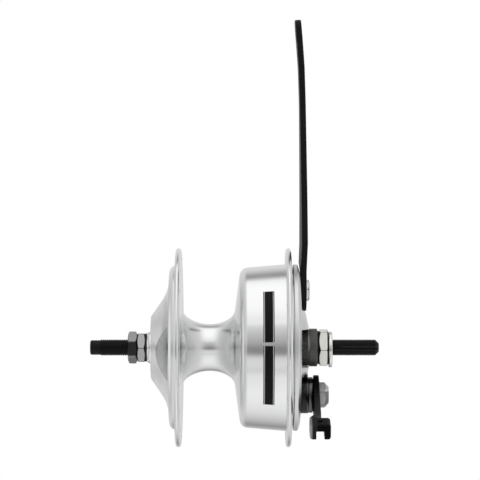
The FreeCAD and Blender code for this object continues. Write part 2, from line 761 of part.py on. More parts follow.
def make_brake_plate():
    lip_radius = liner_seat_radius - plate_lip_gap
    bevel_radius = plate_radius - plate_bevel_width
    body = turned("brake_plate", [
        (plate_x, sleeve_bore_radius),
        (plate_face_x + dome_top_height, sleeve_bore_radius),
        (plate_face_x + dome_top_height, dome_top_radius),
        (plate_face_x + dome_shoulder_height, dome_shoulder_radius),
        (plate_face_x, dome_foot_radius),
        (plate_face_x, bevel_radius - plate_slope_width),
        (plate_face_x - plate_bevel_depth, bevel_radius),
        (plate_rim_x + plate_rim_width, plate_radius),
        (plate_rim_x + plate_rim_chamfer, plate_radius),
        (plate_rim_x, plate_radius - plate_rim_chamfer),
        (plate_rim_x, lip_radius),
        (plate_lip_x, lip_radius),
        (plate_lip_x, lip_radius - plate_lip_wall),
        (plate_inner_x, lip_radius - plate_lip_wall),
        (plate_inner_x, plate_hub_radius),
        (plate_x, plate_hub_radius),
    ])
    zero = as_size(0.0)
    dome_end_x = plate_face_x + dome_top_height * 2
    dome_depth = dome_top_height * 2
    slot_half = spacer_collar_radius + running_gap
    slot_reach = dome_foot_radius + dome_slot_gap
    slot = box_outline(slot_reach, -slot_half, slot_half)
    pocket(body, "spacer_slot", "YZ_Plane", dome_end_x, dome_depth, lambda sketch: draw_outline(sketch, slot))
    notch_half = bush_tab_half + air_gap
    notch_top = bush_flange_radius + bush_tab_rise + air_gap - cam_drop
    notch = box_outline(notch_half, -cam_drop, notch_top)
    pocket(body, "tab_notch", "YZ_Plane", dome_end_x, dome_depth, lambda sketch: draw_outline(sketch, notch))
    dome_foot = -(cam_drop + bush_flange_radius)
    flat = box_outline(slot_reach, dome_foot, -dome_flat_drop)
    pocket(body, "lower_flat", "YZ_Plane", dome_end_x, dome_depth, lambda sketch: draw_outline(sketch, flat))
    step = box_outline(slot_reach, dome_foot, -dome_step_drop)
    pocket(body, "lower_step", "YZ_Plane", dome_end_x, dome_depth - dome_step_rise,
           lambda sketch: draw_outline(sketch, step))
    pocket(body, "arm_seat", "YZ_Plane", dome_end_x, dome_depth,
           lambda sketch: draw_circle(sketch, zero, anchor_height, arm_foot_radius + air_gap))
    through = plate_wall * 2
    pocket(body, "anchor_hole", "YZ_Plane", plate_face_x + plate_wall / 2, through,
           lambda sketch: draw_circle(sketch, zero, anchor_height, anchor_thread_radius + seat_gap))
    pocket(body, "bush_hole", "YZ_Plane", plate_face_x + plate_wall / 2, through,
           lambda sketch: draw_circle(sketch, zero, -cam_drop, bush_neck_radius + seat_gap))


def make_right_stack():
    collar_x = plate_face_x + spacer_collar_start
    turned("right_spacer", [
        (plate_face_x, sleeve_bore_radius),
        (lock_washer_x, sleeve_bore_radius),
        (lock_washer_x, spacer_collar_radius - spacer_edge),
        (lock_washer_x - spacer_edge, spacer_collar_radius),
        (collar_x + spacer_edge, spacer_collar_radius),
        (collar_x, spacer_radius),
        (plate_face_x, spacer_radius),
    ])
    ring("right_lock_washer", lock_washer_x, right_nut_x, sleeve_bore_radius, lock_washer_radius)
    hex_nut("right_locknut", right_nut_x, right_nut_width, right_nut_flats,
            sleeve_bore_radius, -5.8, ("left", "right"), countersink="right")
    washer = turned("right_loose_washer", [
        (right_fork_face, loose_washer_bore),
        (loose_washer_end_x, loose_washer_bore),
        (loose_washer_end_x, loose_washer_radius - loose_washer_edge),
        (loose_washer_end_x - loose_washer_edge, loose_washer_radius),
        (right_fork_face + loose_washer_edge, loose_washer_radius),
        (right_fork_face, loose_washer_radius - loose_washer_edge),
    ])
    place_on(washer, axle_body_radius + running_gap - loose_washer_bore)


def make_anchor():
    nut_x = plate_face_x + arm_thickness
    zero = as_size(0.0)
    start = shoe_x + shoe_end_inset
    shoulder_x = plate_inner_x - anchor_shoulder_width
    pin = turned("anchor_pin", [
        (start, zero),
        (nut_x + anchor_nut_width, zero),
        (nut_x + anchor_nut_width, anchor_thread_radius),
        (plate_inner_x, anchor_thread_radius),
        (plate_inner_x, anchor_shoulder_radius),
        (shoulder_x, anchor_shoulder_radius),
        (shoulder_x, anchor_pin_radius),
        (start + tip_chamfer, anchor_pin_radius),
        (start, anchor_pin_radius - tip_chamfer),
    ])
    place_on(pin, anchor_height)
    nut = hex_nut("anchor_nut", nut_x, anchor_nut_width, anchor_nut_flats,
                  anchor_thread_radius + seat_gap, 8.0, ("right",))
    place_on(nut, anchor_height)


# Reaction arm stations above its foot: height, how far its middle leans off the foot's, and twist in degrees
ARM_STATIONS = (
    (42.5, -0.2, 2.9),
    (52.0, 0.2, 3.3),
    (74.0, 0.1, 2.2),
    (98.0, -0.15, 1.0),
    (122.0, -0.45, 0.0),
    (140.0, -1.0, 0.0),
    (152.0, -1.85, 0.0),
)
ARM_TOP_LEAN = -2.8


def make_reaction_arm():
    body = new_body("reaction_arm")
    zero = as_size(0.0)
    foot = [
        (zero, anchor_height - arm_foot_radius, arm_foot_radius, 1),
        (arm_foot_radius, anchor_height),
        (arm_half_width, arm_foot_top),
        (-arm_half_width, arm_foot_top),
        (-arm_foot_radius, anchor_height, arm_foot_radius, 1),
    ]
    pad(body, "foot", "YZ_Plane", plate_face_x, arm_thickness, lambda sketch: draw_outline(sketch, foot))
    middle_x = plate_face_x + arm_thickness / 2
    stations = [(arm_foot_top, zero, 0.0)]
    for number, (height, lean, twist) in enumerate(ARM_STATIONS, 1):
        stations.append((cell(f"arm_height_{number}", height), cell(f"arm_lean_{number}", lean), twist))
    stations.append((arm_top, cell("arm_top_lean", ARM_TOP_LEAN), 0.0))
    doc.recompute()
    sections = []
    for number, (height, lean, twist) in enumerate(stations):
        sketch = new_sketch(body, f"arm_section_{number}", "XY_Plane", height)
        sketch.AttachmentOffset = Placement(
            Vector(middle_x.value + lean.value, 0, height.value), Rotation(Vector(0, 0, 1), twist))
        sketch.setExpression("AttachmentOffset.Base.x", (middle_x + lean).text)
        half = arm_thickness / 2
        draw_outline(sketch, [
            (-half, -arm_half_width),
            (half, -arm_half_width),
            (half, arm_half_width),
            (-half, arm_half_width),
        ])
        sections.append(sketch)
    blade = body.newObject("PartDesign::AdditiveLoft", "arm_blade")
    blade.Profile = sections[0]
    blade.Sections = sections[1:]
    doc.recompute()
    start_x = middle_x + arm_thickness * 2
    depth = arm_thickness * 4
    beyond = arm_half_width + arm_end_round
    for side in (1, -1):
        corner = [
            (arm_half_width * side, arm_top - arm_end_round, arm_end_round, side),
            ((arm_half_width - arm_end_round) * side, arm_top),
            ((arm_half_width - arm_end_round) * side, arm_top + arm_end_round),
            (beyond * side, arm_top + arm_end_round),
            (beyond * side, arm_top - arm_end_round),
        ]
        name = "front_corner" if side < 0 else "rear_corner"
        pocket(body, name, "YZ_Plane", start_x, depth, lambda sketch: draw_outline(sketch, corner))
    pocket(body, "clip_hole", "YZ_Plane", start_x, depth,
           lambda sketch: draw_circle(sketch, zero, arm_top - clip_hole_inset, clip_hole_radius))
    pocket(body, "anchor_hole", "YZ_Plane", start_x, depth,
           lambda sketch: draw_circle(sketch, zero, anchor_height, anchor_thread_radius + seat_gap))


def turned_square(half, angle):
    """Corners of a square about the sketch's middle, turned by angle."""
    across, up = half * cosine(angle), half * sine(angle)
    return [
        (across - up, across + up),
        (-across - up, across - up),
        (up - across, -across - up),
        (across + up, up - across),
    ]


def make_cam_and_bush():
    bush_end_x = plate_face_x + bush_flange_width + bush_body_width + bush_end_width
    lever_x = bush_end_x + running_gap
    zero = as_size(0.0)
    bush = turned("cam_bush", [
        (plate_inner_x, spindle_radius + running_gap),
        (bush_end_x, spindle_radius + running_gap),
        (bush_end_x, bush_end_radius),
        (bush_end_x - bush_end_width, bush_end_radius),
        (bush_end_x - bush_end_width, bush_body_radius),
        (plate_face_x + bush_flange_width, bush_body_radius),
        (plate_face_x + bush_flange_width, bush_flange_radius),
        (plate_face_x, bush_flange_radius),
        (plate_face_x, bush_neck_radius),
        (plate_inner_x, bush_neck_radius),
    ])
    tab_top = bush_flange_radius + bush_tab_rise
    tab_foot = bush_body_radius - bush_tab_rise
    tab = [
        (-bush_tab_half, tab_foot),
        (bush_tab_half, tab_foot),
        (bush_tab_half, tab_top),
        (-bush_tab_half, tab_top),
    ]
    pad(bush, "tab", "YZ_Plane", plate_face_x + bush_tab_start, bush_tab_thickness,
        lambda sketch: draw_outline(sketch, tab))
    place_on(bush, -cam_drop)

    spindle = new_body("cam_spindle")
    cam_end_x = plate_inner_x - air_gap - spindle_flange_width
    cam = [
        (-cam_half_thickness, -(cam_half_height - cam_corner)),
        (-(cam_half_thickness - cam_corner), -cam_half_height),
        (cam_half_thickness - cam_corner, -cam_half_height),
        (cam_half_thickness, -(cam_half_height - cam_corner)),
        (cam_half_thickness, cam_half_height - cam_corner),
        (cam_half_thickness - cam_corner, cam_half_height),
        (-(cam_half_thickness - cam_corner), cam_half_height),
        (-cam_half_thickness, cam_half_height - cam_corner),
    ]
    pad(spindle, "cam", "YZ_Plane", cam_x, cam_end_x - cam_x, lambda sketch: draw_outline(sketch, cam))
    square_x = lever_x
    thread_x = lever_x + lever_thickness
    revolve(spindle, [
        (cam_end_x, zero),
        (square_x, zero),
        (square_x, spindle_radius),
        (cam_end_x + spindle_flange_width, spindle_radius),
        (cam_end_x + spindle_flange_width, spindle_flange_radius),
        (cam_end_x, spindle_flange_radius),
    ], "shaft")
    square = turned_square(spindle_square / 2, lever_rest_angle)
    pad(spindle, "square", "YZ_Plane", square_x, lever_thickness, lambda sketch: draw_outline(sketch, square))
    pad(spindle, "thread", "YZ_Plane", thread_x, lever_nut_width - tip_chamfer,
        lambda sketch: draw_circle(sketch, zero, zero, spindle_thread_radius))
    place_on(spindle, -cam_drop)
    nut = hex_nut("lever_nut", thread_x, lever_nut_width, lever_nut_flats,
                  spindle_thread_radius + seat_gap, 17.0, ("right",), 0.6)
    place_on(nut, -cam_drop)
    return lever_x


def make_lever(lever_x):
    """Lever drawn level and pointing forward, then dropped to its rest angle.

    A flat blade steps sideways and ends in a channel, open downwards, with a hole for the cable in its top.
    """
    body = new_body("brake_lever")
    zero = as_size(0.0)
    channel_y = -(lever_reach - channel_length)
    step_y = channel_y + lever_step_length
    tangent = lever_boss_radius * math.cos(math.radians(75))
    tangent_up = lever_boss_radius * math.sin(math.radians(75))
    blade = [
        (lever_boss_radius, zero, lever_boss_radius, 1),
        (-tangent, tangent_up),
        (step_y, channel_top),
        (step_y, -blade_drop),
        (-tangent, -tangent_up, lever_boss_radius, 1),
    ]
    pad(body, "blade", "YZ_Plane", lever_x, lever_thickness, lambda sketch: draw_outline(sketch, blade))
    channel_x = lever_x - lever_step
    step = [
        (lever_x, step_y + lever_step_mitre),
        (lever_x, step_y),
        (channel_x, channel_y),
        (channel_x, channel_y - lever_step_mitre),
        (channel_x + channel_wall, channel_y - lever_step_mitre),
        (channel_x + channel_wall, channel_y + lever_step_mitre),
        (lever_x + lever_thickness, step_y - lever_step_mitre),
        (lever_x + lever_thickness, step_y + lever_step_mitre),
    ]
    height = channel_top + blade_drop
    pad(body, "step", "XY_Plane", -blade_drop, height, lambda sketch: draw_outline(sketch, step))
    left, right = channel_x, channel_x + channel_width
    left_wall, right_wall = left + channel_wall, right - channel_wall
    curve, bottom = channel_round, -channel_bottom
    channel = [
        (left, bottom + curve, curve, 1),
        (left + curve, bottom),
        (left_wall - curve, bottom, curve, 1),
        (left_wall, bottom + curve),
        (left_wall, channel_top - channel_web),
        (right_wall, channel_top - channel_web),
        (right_wall, bottom + curve, curve, 1),
        (right_wall + curve, bottom),
        (right - curve, bottom, curve, 1),
        (right, bottom + curve),
        (right, channel_top - curve, curve, 1),
        (right - curve, channel_top),
        (left + curve, channel_top, curve, 1),
        (left, channel_top - curve),
    ]
    pad(body, "channel", "XZ_Plane", -channel_y, channel_length, lambda sketch: draw_outline(sketch, channel))
    hole_x = (left_wall + right_wall) / 2
    pocket(body, "cable_hole", "XY_Plane", height, height * 2,
           lambda sketch: draw_circle(sketch, hole_x, cable_hole_inset - lever_reach, cable_hole_radius))
    half = spindle_square / 2 + running_gap
    square = [(-half, -half), (half, -half), (half, half), (-half, half)]
    pocket(body, "square_hole", "YZ_Plane", lever_x + lever_thickness, lever_thickness,
           lambda sketch: draw_outline(sketch, square))
    place_on(body, -cam_drop)
    body.Placement.Rotation = Rotation(X_AXIS, lever_rest_angle.value)
    body.setExpression("Placement.Rotation.Angle", lever_rest_angle.text)


def on_circle(radius, degrees):
    """A point on a circle about the axle's axis, as sizes across and up."""
    return radius * math.cos(math.radians(degrees)), radius * math.sin(math.radians(degrees))


def sector(sketch, bore, outside, degrees, side):
    """A ring sector on the rear side (side +1) or the front side (side -1)."""
    corners = [
        (*on_circle(bore, -degrees), bore, 1),
        (*on_circle(bore, 0), bore, 1),
        on_circle(bore, degrees),
        (*on_circle(outside, degrees), outside, -1),
        (*on_circle(outside, 0), outside, -1),
        on_circle(outside, -degrees),
    ]
    draw_outline(sketch, mirrored(corners, side))


def mirrored(corners, side):
    """Corners as they are for the rear side, or swapped across the middle plane for the front side."""
    if side > 0:
        return corners
    return [(-corner[0], *corner[1:3], -corner[3]) if len(corner) > 2 else (-corner[0], corner[1])
            for corner in corners]


def make_shoe(name, side):
    """One brake shoe with its lining. It swings on the anchor pin and rests on a flat of the cam."""
    rim_top = brake_radius - lining_to_drum_gap - lining_thickness - seat_gap
    rim_bore = rim_top - shoe_rim_wall
    shoe = new_body(f"{name}_shoe")
    pad(shoe, "rim", "YZ_Plane", shoe_x, shoe_width,
        lambda sketch: sector(sketch, rim_bore, rim_top, shoe_rim_angle.value, side))

    pad_y = cam_half_thickness + cam_to_shoe_gap
    pad_top = shoe_pad_half_height - cam_drop
    pad_bottom = -cam_drop - shoe_pad_half_height
    cup = anchor_pin_radius + running_gap
    cup_rise = root(cup * cup - shoe_split_half * shoe_split_half)
    eye_rise = root(shoe_eye_radius * shoe_eye_radius - shoe_split_half * shoe_split_half)
    weld_radius = rim_bore + shoe_rim_wall / 2
    web_low = (*on_circle(shoe_web_radius, -55), shoe_web_radius, 1)
    web_mid = (*on_circle(shoe_web_radius, 0), shoe_web_radius, 1)
    web_high = on_circle(shoe_web_radius, 58)
    web = [
        (pad_y, pad_bottom),
        (pad_y, pad_top),
        (pad_y + shoe_pad_depth, pad_top),
        web_low,
        web_mid,
        web_high,
        (shoe_split_half, anchor_height - eye_rise),
        (shoe_split_half, anchor_height - cup_rise, cup, 1),
        (cup, anchor_height, cup, 1),
        (shoe_split_half, anchor_height + cup_rise),
        (shoe_split_half, anchor_height + eye_rise),
        (*on_circle(weld_radius, 57), weld_radius, -1),
        (*on_circle(weld_radius, 0), weld_radius, -1),
        on_circle(weld_radius, -57),
    ]
    pad(shoe, "web", "YZ_Plane", shoe_x + shoe_web_inset, shoe_web_thickness,
        lambda sketch: draw_outline(sketch, mirrored(web, side)))

    end_x = shoe_x + shoe_end_inset
    cam_end = [
        (pad_y, pad_bottom),
        (pad_y, pad_top),
        (pad_y + shoe_pad_depth, pad_top),
        (*on_circle(rim_bore, -58),),
        (*on_circle(rim_top, -58),),
    ]
    pad(shoe, "cam_end", "YZ_Plane", end_x, shoe_end_width,
        lambda sketch: draw_outline(sketch, mirrored(cam_end, side)))
    anchor_end = [
        (shoe_split_half, anchor_height - eye_rise),
        (shoe_split_half, anchor_height - cup_rise, cup, 1),
        (cup, anchor_height, cup, 1),
        (shoe_split_half, anchor_height + cup_rise),
        (shoe_split_half, anchor_height + eye_rise),
        on_circle(rim_top, 58),
        on_circle(rim_bore, 58),
    ]
    pad(shoe, "anchor_end", "YZ_Plane", end_x, shoe_end_width,
        lambda sketch: draw_outline(sketch, mirrored(anchor_end, side)))
    hole_x = shoe_x + shoe_web_inset + shoe_web_thickness
    for hole, across, up in (("cam", cam_spring_reach, -cam_spring_drop),
                             ("anchor", anchor_spring_reach, anchor_spring_height)):
        pocket(shoe, f"{hole}_spring_hole", "YZ_Plane", hole_x, shoe_web_thickness,
               lambda sketch: draw_circle(sketch, across * side, up, spring_hole_radius))

    lining = new_body(f"{name}_lining")
    pad(lining, "pad", "YZ_Plane", shoe_x, shoe_width,
        lambda sketch: sector(sketch, rim_top + seat_gap, rim_top + seat_gap + lining_thickness,
                              lining_angle.value, side))


def make_spring(name, reach, height):
    """Tension spring that draws the two shoes together: closed coil with a hook through each shoe's web."""
    body = new_body(name)
    web_end_x = shoe_x + shoe_web_inset + shoe_web_thickness
    coil_x = web_end_x + spring_offset
    tail_x = shoe_x + shoe_web_inset - spring_hook_tail
    bend = spring_hook_bend
    pad(body, "coil", "XZ_Plane", -(spring_coil_length / 2), spring_coil_length,
        lambda sketch: draw_circle(sketch, coil_x, height, spring_coil_radius))
    doc.recompute()
    path = new_sketch(body, f"{name}_path", "XY_Plane", height)
    points = [
        (tail_x, -reach),
        (coil_x - bend, -reach, bend, 1),
        (coil_x, -reach + bend),
        (coil_x, reach - bend, bend, 1),
        (coil_x - bend, reach),
        (tail_x, reach),
    ]
    draw_path(path, points)
    wire_section = new_sketch(body, f"{name}_wire", "YZ_Plane", tail_x)
    draw_circle(wire_section, -reach, height, spring_wire_radius)
    wire = body.newObject("PartDesign::AdditivePipe", f"{name}_hooks")
    wire.Profile = wire_section
    wire.Spine = path
    return body


def draw_path(sketch, points):
    """An open run of lines and arcs through points given as in draw_outline."""
    ends = []
    for corner, following in zip(points, points[1:]):
        start = Vector(corner[0].value, corner[1].value, 0)
        end = Vector(following[0].value, following[1].value, 0)
        if len(corner) == 2:
            ends.append((sketch.addGeometry(Part.LineSegment(start, end), False), 1, 2))
            continue
        centre = arc_centre(start, end, corner[2].value, True)
        circle = Part.Circle(centre, Vector(0, 0, 1), corner[2].value)
        from_angle = math.atan2(start.y - centre.y, start.x - centre.x)
        to_angle = math.atan2(end.y - centre.y, end.x - centre.x)
        ends.append((sketch.addGeometry(Part.ArcOfCircle(circle, from_angle, to_angle), False), 1, 2))
    ends.append((ends[-1][0], ends[-1][2], None))
    for number, corner in enumerate(points):
        geometry, point, _ = ends[number]
        across, up = corner[0], corner[1]
        bind(sketch, Sketcher.Constraint("DistanceX", -1, 1, geometry, point, across.value), across)
        bind(sketch, Sketcher.Constraint("DistanceY", -1, 1, geometry, point, up.value), up)
        if 0 < number < len(points) - 1:
            before = ends[number - 1]
            sketch.addConstraint(Sketcher.Constraint("Coincident", before[0], before[2], geometry, point))
        if len(corner) > 2:
            bind(sketch, Sketcher.Constraint("Radius", geometry, corner[2].value), corner[2])


def main():
    make_axle()
    make_left_stack()
    make_bearing("left", left_bearing_x)
    make_bearing("right", right_bearing_x)
    make_sleeves()
    make_hub_shell()
    make_brake_plate()
    make_right_stack()
    make_anchor()
    make_reaction_arm()
    lever_x = make_cam_and_bush()
    make_lever(lever_x)
    make_shoe("front", -1)
    make_shoe("rear", 1)
    make_spring("cam_side_spring", cam_spring_reach, -cam_spring_drop)
    make_spring("anchor_side_spring", anchor_spring_reach, anchor_spring_height)
    doc.recompute()


NODES = (
    "axle", "left_outer_locknut", "left_inner_locknut", "left_seal_washer", "left_bearing_cap",
    "left_inner_race", "left_outer_race", "left_balls", "left_ball_cage",
    "left_bearing_left_seal", "left_bearing_right_seal",
    "right_inner_race", "right_outer_race", "right_balls", "right_ball_cage",
    "right_bearing_left_seal", "right_bearing_right_seal",
    "distance_tube", "right_bearing_sleeve", "hub_shell", "drum_liner", "brake_plate",
    "right_spacer", "right_lock_washer", "right_locknut", "right_loose_washer",
    "anchor_pin", "anchor_nut", "reaction_arm", "cam_bush", "cam_spindle", "brake_lever", "lever_nut",
    "front_shoe", "front_lining", "rear_shoe", "rear_lining", "cam_side_spring", "anchor_side_spring",
)


def check_and_export():
    """Stops if any feature failed or any piece isn't a sound closed solid, then writes the pieces."""
    for item in doc.Objects:
        if "Invalid" in item.State or "Error" in item.State:
            raise RuntimeError(f"{item.Label} failed: {item.State}")
    os.makedirs("parts", exist_ok=True)
    for node in NODES:
        piece = doc.getObjectsByLabel(node)[0]
        shape = piece.Shape
        if shape.isNull() or not shape.isValid():
            raise RuntimeError(f"{node} isn't a valid shape")
        shape.exportStep(f"parts/{node}.step")
        print(f"{node}: {len(shape.Solids)} solid, {shape.Volume:.1f} mm3")


main()
check_and_export()
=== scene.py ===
# %% [markdown]
# # A drum brake front hub
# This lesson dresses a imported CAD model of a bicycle's front hub. The hub has a polished shell with two spoke
# flanges, a brake plate with an upright reaction arm, a cam lever and a threaded axle.
# The CAD model is already the right size and in the right place, so the lesson only adds what the eye wants:
# rounded edges, threads, clean curved surfaces and metal that looks like metal.
# Each cell makes one piece. The X axis runs along the axle, Z is up, and the camera looks along +Y.

import math

import bpy
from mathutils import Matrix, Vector


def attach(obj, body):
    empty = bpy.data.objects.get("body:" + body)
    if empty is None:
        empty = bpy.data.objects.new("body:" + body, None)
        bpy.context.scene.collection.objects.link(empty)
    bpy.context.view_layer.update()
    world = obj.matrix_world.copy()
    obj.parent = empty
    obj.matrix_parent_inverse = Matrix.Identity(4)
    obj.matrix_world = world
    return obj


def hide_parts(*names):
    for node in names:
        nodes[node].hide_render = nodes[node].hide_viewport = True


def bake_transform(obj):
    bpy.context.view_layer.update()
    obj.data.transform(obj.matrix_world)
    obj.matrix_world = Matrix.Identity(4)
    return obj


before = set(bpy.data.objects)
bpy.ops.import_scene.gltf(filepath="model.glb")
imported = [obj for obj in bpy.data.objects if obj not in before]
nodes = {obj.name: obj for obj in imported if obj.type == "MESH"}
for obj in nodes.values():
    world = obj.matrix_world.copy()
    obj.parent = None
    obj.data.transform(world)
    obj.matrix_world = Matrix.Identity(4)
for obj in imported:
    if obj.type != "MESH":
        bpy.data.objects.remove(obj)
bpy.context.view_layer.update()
MM = 0.001
print("frame loaded:", len(nodes), "nodes")

# %% [markdown]
# ## Camera
# The photograph is taken from straight in front, from about a metre away. A long lens keeps the flanges almost
# edge on, and the small perspective that is left shows a sliver of each flange's side.
# The photograph is square, 240 mm wide at the axle, and its middle lies a little above and beside the origin.

# %% Camera
CAMERA_DISTANCE = 1.1
VIEW_WIDTH = 0.240
PICTURE_MIDDLE_X = 0.0059
PICTURE_MIDDLE_Z = 0.05375
SENSOR_WIDTH = 36.0
camera_data = bpy.data.cameras.new("photo_camera")
camera_data.sensor_width = SENSOR_WIDTH
camera_data.lens = SENSOR_WIDTH * CAMERA_DISTANCE / VIEW_WIDTH
camera_data.dof.use_dof = False
camera = bpy.data.objects.new("photo_camera", camera_data)
camera.location = (PICTURE_MIDDLE_X, -CAMERA_DISTANCE, PICTURE_MIDDLE_Z)
camera.rotation_euler = (math.radians(90), 0, 0)
bpy.context.scene.collection.objects.link(camera)
bpy.context.scene.camera = camera
bpy.context.scene.view_settings.view_transform = "Standard"
print("lens", round(camera_data.lens, 1), "mm")

# %% [markdown]
# ## Working by hand
# Most pieces of a hub are made on a lathe. The same can be done here: one corner is extruded along the piece's
# outline, and the outline is spun round the axle. A turned piece needs only its profile, so that is quicker and
# truer than pushing the rings of a cylinder about.
# Outlines are lists of corners in millimetres. Two more numbers on a corner start an arc: its radius, and +1 or
# -1 for a left or right turn.

# %% Leave edit mode and clear the selection
def deselect_all():
    if bpy.context.mode != "OBJECT":
        bpy.ops.object.mode_set(mode="OBJECT")
    bpy.ops.object.select_all(action="DESELECT")


def use(piece):
    """Make one piece the only selected and active one."""
    deselect_all()
    piece.select_set(True)
    bpy.context.view_layer.objects.active = piece


def rename(name):
    piece = bpy.context.object
    piece.name = name
    piece.data.name = name
    return piece


# %% Corners to points
def stepped(corners, step_degrees=6.0):
    """Points along an outline, with each arc cut into short steps."""
    points = []
    for number, corner in enumerate(corners):
        start = Vector(corner[:2])
        points.append(start)
        if len(corner) == 2:
            continue
        end = Vector(corners[(number + 1) % len(corners)][:2])
        radius, turn = corner[2:]
        chord = end - start
        half = min(chord.length / 2, radius)
        across = Vector((-chord.y, chord.x)).normalized()
        centre = (start + end) / 2 + across * turn * math.sqrt(radius * radius - half * half)
        sweep = 2 * math.asin(half / radius)
        spoke = start - centre
        angle = math.atan2(spoke.y, spoke.x)
        count = max(2, math.ceil(math.degrees(sweep) / step_degrees))
        for step in range(1, count):
            turned = angle + turn * sweep * step / count
            points.append(centre + Vector((math.cos(turned), math.sin(turned))) * radius)
    return points


# %% Lathe
def lathe(name, corners, steps=144, height=0.0, first_angle=0.0):
    """Draws an outline of (place along the axle, radius) from one corner and spins it round."""
    points = stepped(corners)
    open_outline = points[0].y == 0 and points[-1].y == 0
    if not open_outline:
        points.append(points[0])
    outward = Vector((0, -math.cos(first_angle), math.sin(first_angle)))
    places = [(Vector((point.x, 0, height)) + outward * point.y) * MM for point in points]
    deselect_all()
    bpy.ops.mesh.primitive_plane_add(size=MM)
    piece = rename(name)
    bpy.ops.object.mode_set(mode="EDIT")
    bpy.ops.mesh.select_mode(type="VERT")
    bpy.ops.mesh.select_all(action="SELECT")
    bpy.ops.mesh.merge(type="CENTER")
    bpy.ops.transform.translate(value=places[0])
    for here, there in zip(places, places[1:]):
        bpy.ops.mesh.extrude_region_move(TRANSFORM_OT_translate={"value": there - here})
    bpy.ops.mesh.select_all(action="SELECT")
    bpy.ops.mesh.spin(steps=steps, angle=2 * math.pi, center=(0, 0, height * MM), axis=(1, 0, 0))
    bpy.ops.mesh.select_all(action="SELECT")
    bpy.ops.mesh.remove_doubles(threshold=0.002 * MM)
    bpy.ops.mesh.normals_make_consistent(inside=False)
    bpy.ops.object.mode_set(mode="OBJECT")
    return piece


# %% Choose vertices by their place
def keep_selected(piece, test):
    """In edit mode: of what is selected, keeps the edges and faces whose corners all pass the test."""
    bpy.ops.object.mode_set(mode="OBJECT")
    kept = {vertex.index for vertex in piece.data.vertices if vertex.select and test(vertex.co / MM)}
    for part in (*piece.data.edges, *piece.data.polygons):
        part.select = part.select and all(corner in kept for corner in part.vertices)
    for vertex in piece.data.vertices:
        vertex.select = vertex.index in kept
    bpy.ops.object.mode_set(mode="EDIT")


def select_vertices(piece, test):
    """In edit mode: selects everything whose corners all pass the test."""
    bpy.ops.mesh.select_all(action="SELECT")
    keep_selected(piece, test)


# %% Modifiers, applied at once
def apply_modifier(piece, kind, **settings):
    use(piece)
    bpy.ops.object.modifier_add(type=kind)
    modifier = piece.modifiers[-1]
    for setting, value in settings.items():
        setattr(modifier, setting, value)
    bpy.ops.object.modifier_apply(modifier=modifier.name)


def soften(piece, width, segments=2, angle=30):
    """Rounds every edge that is sharper than the angle, as a file or a tumbler does."""
    apply_modifier(piece, "BEVEL", width=width * MM, segments=segments, limit_method="ANGLE",
                   angle_limit=math.radians(angle), miter_outer="MITER_ARC")


def combine(piece, tool, operation="DIFFERENCE"):
    """Cuts a piece with a tool, or keeps what they share, and throws the tool away."""
    apply_modifier(piece, "BOOLEAN", object=tool, operation=operation, solver="EXACT")
    bpy.data.objects.remove(tool)


def smooth(piece, angle=32):
    use(piece)
    bpy.ops.object.shade_smooth_by_angle(angle=math.radians(angle))


# %% Hand a finished piece over
def place(piece, body, slot, *replaced):
    """Says which body the piece rides on, and which CAD nodes it stands for. slot, what it is made of, is not
    used.
    """
    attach(piece, body)
    if replaced:
        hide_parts(*replaced)
    low = [round(min(v.co[axis] for v in piece.data.vertices) / MM, 1) for axis in range(3)]
    high = [round(max(v.co[axis] for v in piece.data.vertices) / MM, 1) for axis in range(3)]
    print(piece.name, "faces", len(piece.data.polygons), "from", low, "to", high)


# %% [markdown]
# ## Sizes
# The new pieces are drawn from the same sizes as the solids. Four of them come up again and again: the heights
# of the cam and of the anchor pin, and the bores of what sits on the axle and on the pin. Each new piece prints
# its box when it is placed.

# %% Heights and bores that many pieces share
CAM_HEIGHT = -23.7
ANCHOR_HEIGHT = 28.5
SEAT = 3.72
PIN_BORE = 2.77

# %% [markdown]
# ## Hub shell
# The shell is one aluminium casting that has been turned and polished. Its outline runs from the left boss up a
# dished cone to a raised ring, over the thin flange, down into the waist, and up again to the drum.
# A flange's rim is a full round, so spokes lie on it without a nick. Every arc in the outline meets the next
# line smoothly, because a polished surface shows each kink as a break in its reflections.

# %% Outline of the shell
LEFT_FLANGE = -24.75
RIGHT_FLANGE = 30.0
RIM_RADIUS = 49.6
RIM_HALF = 1.3


def flange_rim(middle):
    """Two quarter rounds over a flange's rim."""
    shoulder = RIM_RADIUS - RIM_HALF
    return [(middle - RIM_HALF, shoulder, RIM_HALF, -1), (middle, RIM_RADIUS, RIM_HALF, -1),
            (middle + RIM_HALF, shoulder)]


shell_outline = [
    (-38.4, 14.4), (-38.4, 15.75), (-38.25, 15.9), (-38.0, 16.3),
    (-33.1, 23.5, 22.0, 1), (-29.2, 36.0), (-29.2, 37.9, 3.2, -1), (-26.3, 41.0),
    *flange_rim(LEFT_FLANGE), (-23.2, 41.0),
    (-23.2, 20.8, 7.0, 1), (-20.1, 14.95, 18.7, 1), (-9.6, 11.7),
    (-8.6, 11.7, 16.5, 1), (1.0, 14.78, 5.9, 1), (3.4, 18.8),
    (5.75, 36.4, 4.2, -1), (9.7, 40.0), (28.45, 41.6),
    *flange_rim(RIGHT_FLANGE), (31.55, 41.6), (31.55, 37.8), (31.05, 37.3),
    (10.4, 37.3), (10.4, 35.0), (8.5, 33.4), (8.5, 19.2), (9.7, 18.0), (12.9, 18.0), (12.9, 14.0),
    (4.6, 14.0), (4.6, 12.2), (4.1, 12.2), (3.0, 8.8), (-28.3, 8.8), (-29.4, 12.2),
    (-29.9, 12.2), (-29.9, 14.0), (-38.0, 14.0),
]
shell = lathe("hub_shell_turned", shell_outline, steps=180)
print("shell turned from", len(shell_outline), "corners")

